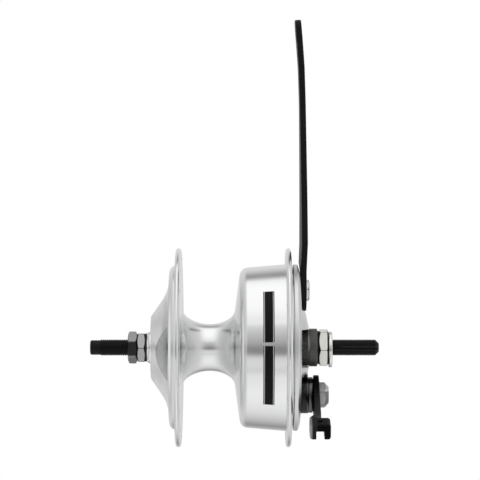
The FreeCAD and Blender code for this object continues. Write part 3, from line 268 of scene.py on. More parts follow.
# %% [markdown]
# Each flange has 18 spoke holes on a 90 mm circle, and the right flange is turned by half a hole's spacing so
# that spokes can cross. One drill is made and copied round the circle, then all copies cut at once.

# %% Spoke holes
SPOKES_PER_FLANGE = 18
SPOKE_CIRCLE = 45.0
SPOKE_HOLE = 1.3


def drill_ring(name, middle, offset):
    """A ring of drills that point along the axle, joined into one tool."""
    drills = []
    for number in range(SPOKES_PER_FLANGE):
        angle = 2 * math.pi * (number + offset) / SPOKES_PER_FLANGE
        deselect_all()
        bpy.ops.mesh.primitive_cylinder_add(
            vertices=20, radius=SPOKE_HOLE * MM, depth=9 * MM, rotation=(0, math.pi / 2, 0),
            location=(middle * MM, SPOKE_CIRCLE * math.cos(angle) * MM, SPOKE_CIRCLE * math.sin(angle) * MM))
        drills.append(bpy.context.object)
    for bit in drills:
        bit.select_set(True)
    bpy.ops.object.join()
    tool = rename(name)
    bpy.ops.object.transform_apply(location=True, rotation=True, scale=True)
    return tool


combine(shell, drill_ring("left_drills", LEFT_FLANGE, 0.0))
combine(shell, drill_ring("right_drills", RIGHT_FLANGE, 0.5))
smooth(shell, 28)
place(shell, "shell", "polished_aluminium", "hub_shell")

# %% [markdown]
# ## Brake plate
# The plate closes the drum. It is turned too, with a flat rim, a shallow face and a low dome round the axle.
# The dome is milled away in front and behind for the spacer, sunk for the arm's foot, and cut off flat in two
# steps above the cam's bush.

# %% A block to mill or build with
def block(name, low, high):
    """A box from one corner to the other, in millimetres."""
    deselect_all()
    middle = [(a + b) / 2 * MM for a, b in zip(low, high)]
    bpy.ops.mesh.primitive_cube_add(size=1, location=middle)
    tool = rename(name)
    tool.scale = [(b - a) * MM for a, b in zip(low, high)]
    bpy.ops.object.transform_apply(location=True, rotation=False, scale=True)
    return tool


def drill(name, start, end, radius, height=0.0, steps=96):
    return lathe(name, [(start, 0), (start, radius), (end, radius), (end, 0)], steps, height)


# %% Turn and mill the dome
dome = lathe("brake_plate_dome", [
    (34.5, 0), (40.25, 0), (40.25, 9.9), (38.75, 17.2), (36.35, 22.2), (35.65, 24.2), (34.5, 24.2),
], steps=180)
combine(dome, block("slot_mill", (34.0, -26.0, -9.5), (45, 26.0, 9.5)))
combine(dome, drill("arm_mill", 34.0, 45.0, 10.6, ANCHOR_HEIGHT))
combine(dome, block("flat_mill", (34.0, -26.5, -34.0), (45, 26.5, -14.1)))
combine(dome, block("step_mill", (37.3, -27.0, -35.0), (46, 27.0, -12.9)))
combine(dome, block("tab_mill", (34.0, -2.6, -23.0), (45, 2.6, -11.6)))

# %% Turn the plate and put the dome on it
BUSH_BORE = 7.02
plate = lathe("brake_plate_turned", [
    (31.8, 0), (36.0, 0), (36.0, 33.4), (35.55, 38.3), (34.6, 41.2), (34.25, 41.5), (32.6, 41.5), (32.3, 41.2),
    (32.3, 36.7), (30.6, 36.7), (30.6, 34.6), (33.0, 34.6), (33.0, 12.0), (31.8, 12.0),
], steps=180)
combine(plate, dome, "UNION")
combine(plate, drill("axle_drill", 20.0, 50.0, SEAT))
combine(plate, drill("anchor_pin_drill", 20.0, 50.0, PIN_BORE, ANCHOR_HEIGHT))
combine(plate, drill("bush_drill", 20.0, 50.0, BUSH_BORE, CAM_HEIGHT))
smooth(plate, 25)
place(plate, "axle_set", "satin_aluminium", "brake_plate")

# %% [markdown]
# ## Threads
# A thread is one small tooth swept round and along. The Screw modifier does just that: the tooth's outline is
# drawn once, over one pitch, and repeated turn by turn. The rod that comes out has ragged ends, so a turned
# envelope then trims it to length and gives it its chamfers.

# %% A threaded rod
PITCH = 0.977
CREST = 4.0
THREAD_DEPTH = 0.30


def threaded(name, start, end, envelope):
    """A rod with a real helical thread from start to end, kept inside a turned envelope."""
    root = CREST - THREAD_DEPTH
    tooth = [(0, root), (0.08, root), (0.26, CREST), (0.74, CREST), (0.92, root), (1.0, root)]
    turns = math.ceil((end - start) / PITCH) + 2
    places = [Vector((start - PITCH + share * PITCH, 0, radius)) * MM for share, radius in tooth]
    deselect_all()
    bpy.ops.mesh.primitive_plane_add(size=MM)
    rod = rename(name)
    bpy.ops.object.mode_set(mode="EDIT")
    bpy.ops.mesh.select_mode(type="VERT")
    bpy.ops.mesh.select_all(action="SELECT")
    bpy.ops.mesh.merge(type="CENTER")
    bpy.ops.transform.translate(value=places[0])
    for here, there in zip(places, places[1:]):
        bpy.ops.mesh.extrude_region_move(TRANSFORM_OT_translate={"value": there - here})
    bpy.ops.object.mode_set(mode="OBJECT")
    apply_modifier(rod, "SCREW", axis="X", angle=2 * math.pi, screw_offset=PITCH * MM, iterations=turns,
                   steps=40, render_steps=40, use_merge_vertices=True, merge_threshold=0.002 * MM)
    use(rod)
    bpy.ops.object.mode_set(mode="EDIT")
    bpy.ops.mesh.select_all(action="SELECT")
    bpy.ops.mesh.remove_doubles(threshold=0.002 * MM)
    for side in (-1, 1):
        bpy.ops.mesh.select_all(action="DESELECT")
        bpy.ops.mesh.select_non_manifold()
        keep_selected(rod, lambda spot: (spot.x - (start + end) / 2) * side > 0)
        bpy.ops.mesh.edge_face_add()
    bpy.ops.mesh.select_all(action="SELECT")
    bpy.ops.mesh.normals_make_consistent(inside=False)
    bpy.ops.object.mode_set(mode="OBJECT")
    combine(rod, envelope, "INTERSECT")
    return rod


# %% [markdown]
# ## Axle
# The axle is a black oxide M8 rod. Only its two ends show. The left end has a short plain tip, and the right
# end has a keyway along its front that keys a lock washer.

# %% Left axle end
left_envelope = lathe("left_envelope", [(-64.1, 0), (-64.1, 3.5), (-63.4, 4.2), (-49.0, 4.2), (-49.0, 0)], 96)
left_end = threaded("axle_left_thread", -63.9, -49.5, left_envelope)
smooth(left_end, 40)
place(left_end, "axle_set", "black_steel", "axle")

left_tip = lathe("axle_left_tip", [(-68.9, 0), (-68.9, 3.15), (-68.4, 3.65), (-64.0, 3.65), (-64.0, 0)], 96)
soften(left_tip, 0.12)
smooth(left_tip)
place(left_tip, "axle_set", "black_steel")

# %% Right axle end with its keyway
KEYWAY = ((44.5, -6.0, -0.95), (80.0, -3.07, 0.65))
right_envelope = lathe("right_envelope", [
    (50.2, 0), (50.2, 3.69), (52.3, 3.69), (52.8, 4.2), (73.17, 4.2), (75.2, 2.17), (75.2, 0),
], 96)
combine(right_envelope, block("keyway_mill", *KEYWAY))
right_end = threaded("axle_right_thread", 50.5, 75.2, right_envelope)
smooth(right_end, 40)
place(right_end, "axle_set", "black_steel")

axle_core = lathe("axle_core", [(-49.2, 0), (-49.2, 3.7), (50.4, 3.7), (50.4, 0)], 64)
combine(axle_core, block("core_mill", *KEYWAY))
smooth(axle_core)
place(axle_core, "axle_set", "black_steel")

# %% [markdown]
# ## Nuts
# A nut starts as a six-sided bar, which is a lathe piece spun in only six steps. Turning the bar's ends gives
# the curved bevels where the corners are knocked off, so the bar is cut to what it shares with a turned blank.
# Then a bore with opened mouths goes through, and every edge is broken.

# %% Where each nut sits
NUTS = {
    "left_locknut_outer": dict(start=-50.0, width=4.65, flats=14.0),
    "left_locknut_inner": dict(start=-45.35, width=4.15, flats=14.0),
    "right_locknut_wide": dict(start=45.1, width=4.9, flats=17.0),
    "anchor_pin_nut": dict(start=39.0, width=1.5, flats=10.0, height=ANCHOR_HEIGHT),
    "brake_lever_nut": dict(start=45.25, width=4.9, flats=11.5, height=CAM_HEIGHT, slope=0.46, face_share=0.36),
}


def corner_radius(flats):
    return flats / 2 / math.cos(math.radians(30))


# %% Hexagon nuts
def turned_blank(name, bevels, start, width, flats, height=0.0, slope=0.27, face_share=0.475):
    """The turned shape a nut is cut to. bevels names the ends, left or right, whose corners are knocked off."""
    end = start + width
    over = corner_radius(flats) + 1
    face = flats * face_share
    fall = (over - face) * 2 * slope
    left_in = start + fall if "left" in bevels else start
    right_in = end - fall if "right" in bevels else end
    return lathe(name, [(start, 0), (start, face), (left_in, over), (right_in, over), (end, face), (end, 0)],
                 120, height)


def hex_nut(name, corner_degrees, body, slot, node, bevels="left right", bore=SEAT, mouth=0.6):
    sizes = NUTS[name]
    start, height = sizes["start"], sizes.get("height", 0.0)
    end = start + sizes["width"]
    corner = corner_radius(sizes["flats"])
    nut = lathe(name, [(start - 1, 0), (start - 1, corner), (end + 1, corner), (end + 1, 0)], 6, height,
                math.radians(corner_degrees))
    combine(nut, turned_blank(name + "_blank", bevels, **sizes), "INTERSECT")
    tool = [(start - 1, 0), (start - 1, bore + mouth + 1), (start + mouth, bore), (end - mouth, bore),
            (end + 1, bore + mouth + 1), (end + 1, 0)]
    combine(nut, lathe(name + "_bore", tool, 64, height))
    soften(nut, 0.14, 2, 28)
    smooth(nut, 30)
    apply_modifier(nut, "WEIGHTED_NORMAL", keep_sharp=True)
    place(nut, body, slot, node)


hex_nut("left_locknut_outer", 26.3, "axle_set", "chrome", "left_outer_locknut")
hex_nut("left_locknut_inner", 0.0, "axle_set", "chrome", "left_inner_locknut")
hex_nut("right_locknut_wide", -5.8, "axle_set", "nickel", "right_locknut")
hex_nut("anchor_pin_nut", 8.0, "axle_set", "chrome", "anchor_nut", "right", PIN_BORE, 0.3)
hex_nut("brake_lever_nut", 17.0, "cam_lever", "zinc", "lever_nut", "right", 3.22, 0.4)

# %% [markdown]
# ## Washers, cap, spacer and bush
# These are all small lathe pieces. Their edges get a bevel of a tenth of a millimetre or more, because a broken
# edge catches a thin bright line of light and tells the eye where one piece ends and the next begins.

# %% Turned rings
def ring(name, node, slot, corners, edge, height=0.0):
    piece = lathe(name, corners, 120, height)
    soften(piece, edge)
    smooth(piece)
    place(piece, "axle_set", slot, node)
    return piece


ring("left_dust_washer", "left_seal_washer", "seal_rubber",
     [(-41.2, SEAT), (-40.5, SEAT), (-40.5, 7.05), (-41.2, 7.05)], 0.12)
ring("left_cap", "left_bearing_cap", "chrome",
     [(-40.5, SEAT), (-29.9, SEAT), (-29.9, 5.98), (-37.9, 5.98), (-37.9, 8.0), (-38.9, 8.0, 2.6, 1),
      (-40.5, 7.2)], 0.12)
ring("spacer_beside_plate", "right_spacer", "dark_steel",
     [(36.0, SEAT), (44.5, SEAT), (44.5, 9.05), (44.1, 9.45), (40.6, 9.45), (40.2, 9.05), (36.0, 9.05)], 0.1)
ring("thin_lock_washer", "right_lock_washer", "black_steel",
     [(44.5, SEAT), (45.1, SEAT), (45.1, 8.3), (44.5, 8.3)], 0.15)
ring("hanging_washer", "right_loose_washer", "nickel",
     [(50.0, 4.7), (51.9, 4.7), (51.9, 8.6), (51.55, 8.95), (50.35, 8.95), (50.0, 8.6)], 0.18, -0.95)

# %% Cam bush with its tab
bush = lathe("cam_bush_black", [
    (33.0, 5.05), (42.4, 5.05), (42.4, 8.2), (42.0, 8.2), (42.0, 8.95), (40.2, 8.95), (40.1, 8.75),
    (39.9, 8.75), (39.9, 9.2), (36.0, 9.2), (36.0, 7.0), (33.0, 7.0),
], 120, CAM_HEIGHT)
soften(bush, 0.12)
tab = block("bush_tab", (37.45, -2.2, -17.0), (39.75, 2.2, -11.9))
soften(tab, 0.5, 3)
combine(bush, tab, "UNION")
smooth(bush)
place(bush, "axle_set", "black_steel", "cam_bush")

# %% [markdown]
# ## Reaction arm
# The arm ties the brake plate to the fork. It is a flat steel bar with a round foot, seen edge on here, so what
# shows is how it leans and twists on its way up. It is drawn as a sheet: half a disc for the foot, whose
# straight top edge is extruded upwards row by row. Each new row is then leaned and twisted, and Solidify gives
# the sheet its 3 mm. Its edges are rounded before the holes go in, since a hole's many short edges would hold
# the rounding back.

# %% Draw the arm as a sheet
ARM_MIDDLE = 37.5
ARM_HALF = 8.5
ARM_FOOT_RADIUS = 10.2
ARM_FOOT_TOP = 38.0
ARM_TOP = 163.5
FIRST_STEP = 4.5
ROW_STEP = 4.84
ARM_ROWS = [
    (ARM_FOOT_TOP, 0.0, 0.0), (42.5, -0.2, 2.9), (52.0, 0.2, 3.3), (74.0, 0.1, 2.2), (98.0, -0.15, 1.0),
    (122.0, -0.45, 0.0), (140.0, -1.0, 0.0), (152.0, -1.85, 0.0), (ARM_TOP, -2.8, 0.0),
]


def disc(name, radius, middle, height):
    """In edit mode: a flat disc that faces along the axle, all selected."""
    deselect_all()
    bpy.ops.mesh.primitive_circle_add(vertices=64, radius=radius * MM, fill_type="NGON",
                                      rotation=(0, math.pi / 2, 0), location=(middle * MM, 0, height * MM))
    sheet = rename(name)
    bpy.ops.object.transform_apply(location=True, rotation=True, scale=True)
    bpy.ops.object.mode_set(mode="EDIT")
    bpy.ops.mesh.select_all(action="SELECT")
    return sheet


def between(rows, height):
    """Lean and twist at a height, in even steps between the rows below and above."""
    for low, high in zip(rows, rows[1:]):
        if low[0] <= height <= high[0]:
            share = (height - low[0]) / (high[0] - low[0])
            return [a + (b - a) * share for a, b in zip(low[1:], high[1:])]
    return rows[-1][1:]


arm = disc("reaction_arm_bar", ARM_FOOT_RADIUS, ARM_MIDDLE, ANCHOR_HEIGHT)
bpy.ops.mesh.bisect(plane_co=(0, 0, ANCHOR_HEIGHT * MM), plane_no=(0, 0, 1), clear_outer=True)
select_vertices(arm, lambda spot: spot.z > ANCHOR_HEIGHT - 0.01)
foot_rise = (ARM_FOOT_TOP - ANCHOR_HEIGHT) * MM
bpy.ops.mesh.extrude_region_move(TRANSFORM_OT_translate={"value": (0, 0, foot_rise)})
bpy.ops.transform.resize(value=(1, ARM_HALF / ARM_FOOT_RADIUS, 1), center_override=(0, 0, ARM_FOOT_TOP * MM))
heights = [ARM_FOOT_TOP]
while heights[-1] < ARM_TOP - 0.1:
    step = FIRST_STEP if len(heights) == 1 else ROW_STEP
    bpy.ops.mesh.extrude_region_move(TRANSFORM_OT_translate={"value": (0, 0, step * MM)})
    heights.append(heights[-1] + step)
print("arm rows", len(heights))

# %% Lean, twist and thicken the arm
ARM_THICKNESS = 3.0
TOP_CORNER = 5.5
CLIP_HOLE = 2.65
CLIP_HEIGHT = 155.0
for height in heights[1:]:
    lean, twist = between(ARM_ROWS, height)
    select_vertices(arm, lambda spot: abs(spot.z - height) < 0.05)
    bpy.ops.transform.translate(value=(lean * MM, 0, 0))
    swing = ARM_HALF * math.sin(math.radians(twist))
    for side in (1, -1):
        select_vertices(arm, lambda spot: abs(spot.z - height) < 0.05 and spot.y * side > 1)
        bpy.ops.transform.translate(value=(-side * swing * MM, 0, 0))
select_vertices(arm, lambda spot: spot.z > ARM_TOP - 0.1)
bpy.ops.mesh.bevel(offset=TOP_CORNER * MM, segments=8, affect="VERTICES")
bpy.ops.object.mode_set(mode="OBJECT")
apply_modifier(arm, "SOLIDIFY", thickness=ARM_THICKNESS * MM, offset=0.0, use_even_offset=True)
soften(arm, 0.45, 3, 40)
combine(arm, drill("clip_drill", 20, 50, CLIP_HOLE, CLIP_HEIGHT, 32))
combine(arm, drill("anchor_drill", 20, 50, PIN_BORE, ANCHOR_HEIGHT, 32))
smooth(arm, 35)
apply_modifier(arm, "WEIGHTED_NORMAL", keep_sharp=True)
place(arm, "axle_set", "black_steel", "reaction_arm")

# %% [markdown]
# ## Brake lever
# The lever is a steel plate on the cam's square. It points forward and steps in towards the hub, and its end is
# folded over into a channel that holds the end of the cable. The plate is drawn level as one sheet and
# thickened. A folded channel is the same all along, so it is milled from a rounded block and joined to the
# plate. The whole lever is then dropped by 15 degrees about the cam.

# %% Draw the lever's plate
LEVER_MIDDLE = 43.85
LEVER_EYE = 9.9
LEVER_THICKNESS = 2.8
EYE_CUT = -2.56
BLADE_MIDDLE = -0.92
lever = disc("brake_lever_folded", LEVER_EYE, LEVER_MIDDLE, 0)
bpy.ops.mesh.bisect(plane_co=(0, EYE_CUT * MM, 0), plane_no=(0, -1, 0), clear_outer=True)
select_vertices(lever, lambda spot: spot.y < -2.5)


def extrude_forward(to_y, from_y, aside, middle_z, scale_z, from_middle):
    """Extrudes the lever's open end to a new place, with its own width and middle height."""
    bpy.ops.mesh.extrude_region_move(TRANSFORM_OT_translate={
        "value": (aside * MM, (to_y - from_y) * MM, (middle_z - from_middle) * MM)})
    bpy.ops.transform.resize(value=(1, 1, scale_z), center_override=(0, 0, middle_z * MM))


extrude_forward(-34.2, EYE_CUT, 0.0, BLADE_MIDDLE, 3.42 / 9.56, 0.0)
extrude_forward(-40.0, -34.2, -3.0, BLADE_MIDDLE, 0.97, BLADE_MIDDLE)
extrude_forward(-44.0, -40.0, 0.0, BLADE_MIDDLE, 1.0, BLADE_MIDDLE)
bpy.ops.object.mode_set(mode="OBJECT")
apply_modifier(lever, "SOLIDIFY", thickness=LEVER_THICKNESS * MM, offset=0.0, use_even_offset=True)
soften(lever, 0.5, 3, 40)
combine(lever, block("square_broach", (40, -3.25, -3.25), (50, 3.25, 3.25)))

# %% Mill the channel at the lever's end
CABLE_HOLE = 1.3
CHANNEL_MIDDLE = 44.35
channel = block("lever_channel", (39.3, -52.0, -4.95), (49.4, -40.0, 2.5))
soften(channel, 1.3, 4)
combine(channel, block("channel_mill", (42.4, -60.0, -10.0), (46.3, -30.0, -0.7)))
soften(channel, 0.25, 2, 50)
deselect_all()
bpy.ops.mesh.primitive_cylinder_add(vertices=32, radius=CABLE_HOLE * MM, depth=12 * MM,
                                    location=(CHANNEL_MIDDLE * MM, -46.0 * MM, 0))
cable_drill = rename("cable_drill")
bpy.ops.object.transform_apply(location=True, rotation=True, scale=True)
combine(channel, cable_drill)
combine(lever, channel, "UNION")
smooth(lever, 35)
apply_modifier(lever, "WEIGHTED_NORMAL", keep_sharp=True)

# %% Drop the lever to its rest
LEVER_DROP = 15
use(lever)
bpy.ops.object.mode_set(mode="EDIT")
bpy.ops.mesh.select_all(action="SELECT")
bpy.ops.transform.rotate(value=math.radians(-LEVER_DROP), orient_axis="X", center_override=(0, 0, 0))
bpy.ops.transform.translate(value=(0, 0, CAM_HEIGHT * MM))
bpy.ops.object.mode_set(mode="OBJECT")
place(lever, "cam_lever", "black_steel", "brake_lever")

# %% [markdown]
# ## Shoe springs
# Each spring hooks into both shoes, and its coil stretches when the cam parts them. A copy of the solid model's
# spring is cut at its middle and the cut is closed, once for the front half and once for the rear half.


def spring_half(node, side, shoe):
    """One half of a spring, cut at its middle: side is -1 for the front shoe's half and 1 for the rear one's.
    """
    mesh = bpy.data.objects[node].data.copy()
    half = bpy.data.objects.new(f"{node}_{shoe}_half", mesh)
    bpy.context.collection.objects.link(half)
    use(half)
    bpy.ops.object.mode_set(mode="EDIT")
    bpy.ops.mesh.select_all(action="SELECT")
    bpy.ops.mesh.remove_doubles(threshold=0.001 * MM)
    bpy.ops.mesh.select_all(action="SELECT")
    bpy.ops.mesh.bisect(plane_co=(0, 0, 0), plane_no=(0, side, 0), use_fill=True, clear_inner=True)
    bpy.ops.mesh.select_all(action="SELECT")
    bpy.ops.mesh.normals_make_consistent(inside=False)
    bpy.ops.object.mode_set(mode="OBJECT")
    smooth(half)
    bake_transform(half)
    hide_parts(node)
    print(half.name, "faces", len(mesh.polygons))
    return half


spring_halves = [spring_half(node, side, shoe) for node in ("cam_side_spring", "anchor_side_spring")
                 for side, shoe in ((-1, "front"), (1, "rear"))]

# %% [markdown]
# ## Finishes
# Bare metal is a mirror that has been scratched. The colour sets how much it gives back, and the roughness how
# sharp the reflection is, so most of the work is in small changes of roughness. Two effects are shared by
# several metals and are built once as node groups: turning marks that run round the axle, and a fine mottle.

# %% Node helpers
def add_node(tree, kind, inputs=None, **settings):
    node = tree.nodes.new(kind)
    for setting, value in settings.items():
        setattr(node, setting, value)
    for socket, value in (inputs or {}).items():
        if isinstance(value, bpy.types.NodeSocket):
            tree.links.new(value, node.inputs[socket])
        else:
            node.inputs[socket].default_value = value
    return node


def maths(tree, operation, *values):
    return add_node(tree, "ShaderNodeMath", dict(enumerate(values)), operation=operation).outputs[0]


def times(tree, first, second):
    return maths(tree, "MULTIPLY", first, second)


def remap(tree, value, start, end, low=0.0, high=1.0):
    """low where the value is start, high where it is end, and even in between."""
    return add_node(tree, "ShaderNodeMapRange", {"Value": value, "From Min": start, "From Max": end,
                                                 "To Min": low, "To Max": high}).outputs[0]


def new_group(name, inputs, outputs):
    group = bpy.data.node_groups.new(name, "ShaderNodeTree")
    for socket, kind, value in inputs:
        made = group.interface.new_socket(name=socket, in_out="INPUT", socket_type=kind)
        made.default_value = value
    for socket, kind in outputs:
        group.interface.new_socket(name=socket, in_out="OUTPUT", socket_type=kind)
    return group, group.nodes.new("NodeGroupInput"), group.nodes.new("NodeGroupOutput")


# %% [markdown]
# The mottle is a slow noise for handling marks and a fast one for grain. It gives a roughness and a height.

# %% Metal mottle group
mottle, mottle_in, mottle_out = new_group(
    "metal_mottle",
    [("Roughness", "NodeSocketFloat", 0.3), ("Smudge", "NodeSocketFloat", 0.05),
     ("Smudge Size", "NodeSocketFloat", 90.0), ("Grain Size", "NodeSocketFloat", 3000.0)],
    [("Roughness", "NodeSocketFloat"), ("Height", "NodeSocketFloat"), ("Smudge", "NodeSocketFloat")])
coordinates = add_node(mottle, "ShaderNodeTexCoord")
slow = add_node(mottle, "ShaderNodeTexNoise", {"Vector": coordinates.outputs["Object"],
                "Scale": mottle_in.outputs["Smudge Size"], "Detail": 3.0, "Roughness": 0.55})
fast = add_node(mottle, "ShaderNodeTexNoise", {"Vector": coordinates.outputs["Object"],
                "Scale": mottle_in.outputs["Grain Size"], "Detail": 2.0, "Roughness": 0.6})
swing = maths(mottle, "SUBTRACT", slow.outputs[0], 0.5)
scaled = times(mottle, swing, mottle_in.outputs["Smudge"])
total = maths(mottle, "ADD", mottle_in.outputs["Roughness"], times(mottle, scaled, 2.0))
mottle.links.new(maths(mottle, "MAXIMUM", total, 0.03), mottle_out.inputs["Roughness"])
mottle.links.new(fast.outputs[0], mottle_out.inputs["Height"])
mottle.links.new(slow.outputs[0], mottle_out.inputs["Smudge"])

# %% [markdown]
# Turning marks are a noise that changes quickly along the axle or outward from it, and hardly at all round it.

# %% Turning marks group
marks, marks_in, marks_out = new_group(
    "turning_marks",
    [("Along", "NodeSocketFloat", 1400.0), ("Outward", "NodeSocketFloat", 1400.0)],
    [("Height", "NodeSocketFloat")])
spot = add_node(marks, "ShaderNodeTexCoord")
split = add_node(marks, "ShaderNodeSeparateXYZ", {"Vector": spot.outputs["Object"]})
off_axis = maths(marks, "SQRT", maths(marks, "ADD", times(marks, split.outputs["Y"], split.outputs["Y"]),
                                      times(marks, split.outputs["Z"], split.outputs["Z"])))
row = add_node(marks, "ShaderNodeCombineXYZ",
               {"X": times(marks, split.outputs["X"], marks_in.outputs["Along"]),
                "Y": times(marks, off_axis, marks_in.outputs["Outward"])})
lines = add_node(marks, "ShaderNodeTexNoise", {"Vector": row.outputs[0], "Scale": 1.0, "Detail": 3.0})
marks.links.new(lines.outputs[0], marks_out.inputs["Height"])
print("groups", mottle.name, marks.name)


# %% One metal or paint
def new_material(name, colour, metallic):
    material = bpy.data.materials.new(name)
    material.use_nodes = True
    tree = material.node_tree
    shader = tree.nodes["Principled BSDF"]
    shader.inputs["Base Color"].default_value = (*colour, 1.0)
    shader.inputs["Metallic"].default_value = metallic
    return material, tree, shader


def add_mottle(tree, shader, roughness, smudge, smudge_size=90.0, grain_size=3000.0):
    node = tree.nodes.new("ShaderNodeGroup")
    node.node_tree = mottle
    for socket, value in (("Roughness", roughness), ("Smudge", smudge), ("Smudge Size", smudge_size),
                          ("Grain Size", grain_size)):
        node.inputs[socket].default_value = value
    tree.links.new(node.outputs["Roughness"], shader.inputs["Roughness"])
    return node


def add_marks(tree, along, outward):
    node = tree.nodes.new("ShaderNodeGroup")
    node.node_tree = marks
    node.inputs["Along"].default_value = along
    node.inputs["Outward"].default_value = outward
    return node


def add_bump(tree, shader, height, distance, strength=1.0):
    """distance is how deep the bump goes, in millimetres."""
    bump = add_node(tree, "ShaderNodeBump", {"Strength": strength, "Distance": distance * MM, "Height": height})
    tree.links.new(bump.outputs["Normal"], shader.inputs["Normal"])


def shade(colour_low, colour_high, tree, shader, mask):
    """Lets the colour drift between two values along a mask."""
    mix = add_node(tree, "ShaderNodeMix", {"Factor": mask}, data_type="RGBA")
    mix.inputs["A"].default_value = (*colour_low, 1.0)
    mix.inputs["B"].default_value = (*colour_high, 1.0)
    tree.links.new(mix.outputs["Result"], shader.inputs["Base Color"])


def plain_metal(name, low, high, roughness, smudge, grain, grain_depth, metallic=1.0, smudge_size=90.0,
                specular=0.5):
    """A metal or paint whose colour, roughness and grain all drift a little."""
    material, tree, shader = new_material(name, low, metallic)
    shader.inputs["Specular IOR Level"].default_value = specular
    node = add_mottle(tree, shader, roughness, smudge, smudge_size, grain)
    shade(low, high, tree, shader, node.outputs["Smudge"])
    add_bump(tree, shader, node.outputs["Height"], grain_depth)
    return material


# %% Masks made from the object's own coordinates
def own_axes(tree):
    where = add_node(tree, "ShaderNodeTexCoord")
    axes = add_node(tree, "ShaderNodeSeparateXYZ", {"Vector": where.outputs["Object"]})
    return [axes.outputs[axis] for axis in "XYZ"]


def distance_off(tree, sideways, upward, height=0.0):
    """How far a point is off the axle, or off another axis at a height."""
    raised = maths(tree, "SUBTRACT", upward, height * MM)
    return maths(tree, "SQRT", maths(tree, "ADD", times(tree, sideways, sideways), times(tree, raised, raised)))


def inside(tree, value, low, high, soft):
    """1 between two limits and 0 outside them, with soft edges. The limits are in the value's own unit."""
    rising = remap(tree, value, low - soft, low + soft)
    falling = remap(tree, value, high - soft, high + soft, 1.0, 0.0)
    return times(tree, rising, falling)


def band(tree, value, low, high, soft):
    """The same for a length, in millimetres."""
    return inside(tree, value, low * MM, high * MM, soft * MM)


def fade(tree, value, start, end):
    """0 at start and 1 at end, in millimetres."""
    return remap(tree, value, start * MM, end * MM)


def paint_over(tree, shader, mask, colour):
    """Lays one more colour over the others where the mask is 1."""
    mix = add_node(tree, "ShaderNodeMix", {"Factor": mask}, data_type="RGBA")
    tree.links.new(shader.inputs["Base Color"].links[0].from_socket, mix.inputs["A"])
    mix.inputs["B"].default_value = (*colour, 1.0)
    tree.links.new(mix.outputs["Result"], shader.inputs["Base Color"])


def opened(material):
    """A finished material's nodes, its shader and the object's three axes, to paint more over it."""
    tree = material.node_tree
    return tree, tree.nodes["Principled BSDF"], *own_axes(tree)


# %% [markdown]
# ## Polished shell, with a painted reflection patch and printed bars
# Three finishes share the shell. The dish beside the left flange has a grainy patch in front whose grey colour
# is a painted dark reflection, the rest is polished, and the drum carries two printed black bars. Each is a
# mask made from the object's own coordinates: how far along the axle, how far off it, and the angle round it.

# %% Mask of the grainy patch with a painted reflection
polished, tree, shader = new_material("polished_shell", (0.86, 0.865, 0.87), 1.0)
along, sideways, upward = own_axes(tree)
radius_here = distance_off(tree, sideways, upward)

# A curve like a ball's flight, lying on its side: it starts at the tip and widens towards the flange.
PATCH_TIP = -35.4
PATCH_HEIGHT = -1.8
PATCH_CURVE = 30.0
PATCH_EDGE = 3e-6
# The patch has a grain, given as a bump, and a painted dark reflection in its colour, in front only.
dish = times(tree, band(tree, along, -36.3, -28.7, 0.3), band(tree, radius_here, 17.2, 35.2, 0.6))
patch_reach = maths(tree, "MULTIPLY_ADD", along, PATCH_CURVE * MM, -PATCH_CURVE * PATCH_TIP * MM * MM)
above_tip = maths(tree, "SUBTRACT", upward, PATCH_HEIGHT * MM)
patch_depth = maths(tree, "SUBTRACT", patch_reach, times(tree, above_tip, above_tip))
patch = remap(tree, patch_depth, -PATCH_EDGE, PATCH_EDGE)
grainy_reflection_patch = times(tree, dish, times(tree, patch, fade(tree, sideways, 0.5, -0.5)))
print("cast patch from", PATCH_TIP, "mm along the axle")

# %% Mask of the printed bars
front_angle = maths(tree, "ARCTAN2", upward, times(tree, sideways, -1.0))
UPPER_BAR = (math.radians(6.2), math.radians(44.6))
LOWER_BAR = (math.radians(-40.0), math.radians(3.8))
BAR_SOFT = 0.0007
LINE_SOFT = 0.03
bar_place = band(tree, along, 17.2, 22.6, LINE_SOFT)
outside_drum = maths(tree, "GREATER_THAN", radius_here, 0.0385)
bars = times(tree, times(tree, bar_place, outside_drum),
             maths(tree, "MAXIMUM", inside(tree, front_angle, *UPPER_BAR, BAR_SOFT),
                   inside(tree, front_angle, *LOWER_BAR, BAR_SOFT)))
line_place = maths(tree, "SUBTRACT", band(tree, along, 17.6, 22.2, LINE_SOFT),
                   band(tree, along, 17.9, 21.9, LINE_SOFT))
pinstripe = times(tree, times(tree, bars, line_place), 0.8)
print("bars masked")

# %% Colours and roughness of the shell
shader.inputs["Specular IOR Level"].default_value = 0.12
mottle_node = add_mottle(tree, shader, 0.19, 0.035, 60.0, 2600.0)
shade((0.84, 0.845, 0.85), (0.89, 0.89, 0.89), tree, shader, mottle_node.outputs["Smudge"])
# Painted dark reflection on the grainy patch.
paint_over(tree, shader, grainy_reflection_patch, (0.63, 0.635, 0.64))
paint_over(tree, shader, maths(tree, "SUBTRACT", bars, pinstripe), (0.006, 0.006, 0.0065))
tree.links.new(maths(tree, "SUBTRACT", 1.0, bars), shader.inputs["Metallic"])
roughness = mottle_node.outputs["Roughness"]
for mask, extra in ((grainy_reflection_patch, 0.04), (fade(tree, along, -36.2, -36.6), 0.16),
                    (band(tree, along, -23.0, 3.0, 0.6), 0.04), (bars, 0.28)):
    roughness = maths(tree, "MULTIPLY_ADD", mask, extra, roughness)
tree.links.new(roughness, shader.inputs["Roughness"])
marks_node = add_marks(tree, 900.0, 900.0)
grain = times(tree, mottle_node.outputs["Height"], maths(tree, "MULTIPLY_ADD", grainy_reflection_patch, 2.6, 0.012))
relief = maths(tree, "ADD", grain, times(tree, marks_node.outputs["Height"], 0.03))
add_bump(tree, shader, relief, 0.10)
print("shell finish made of", len(tree.nodes), "nodes")
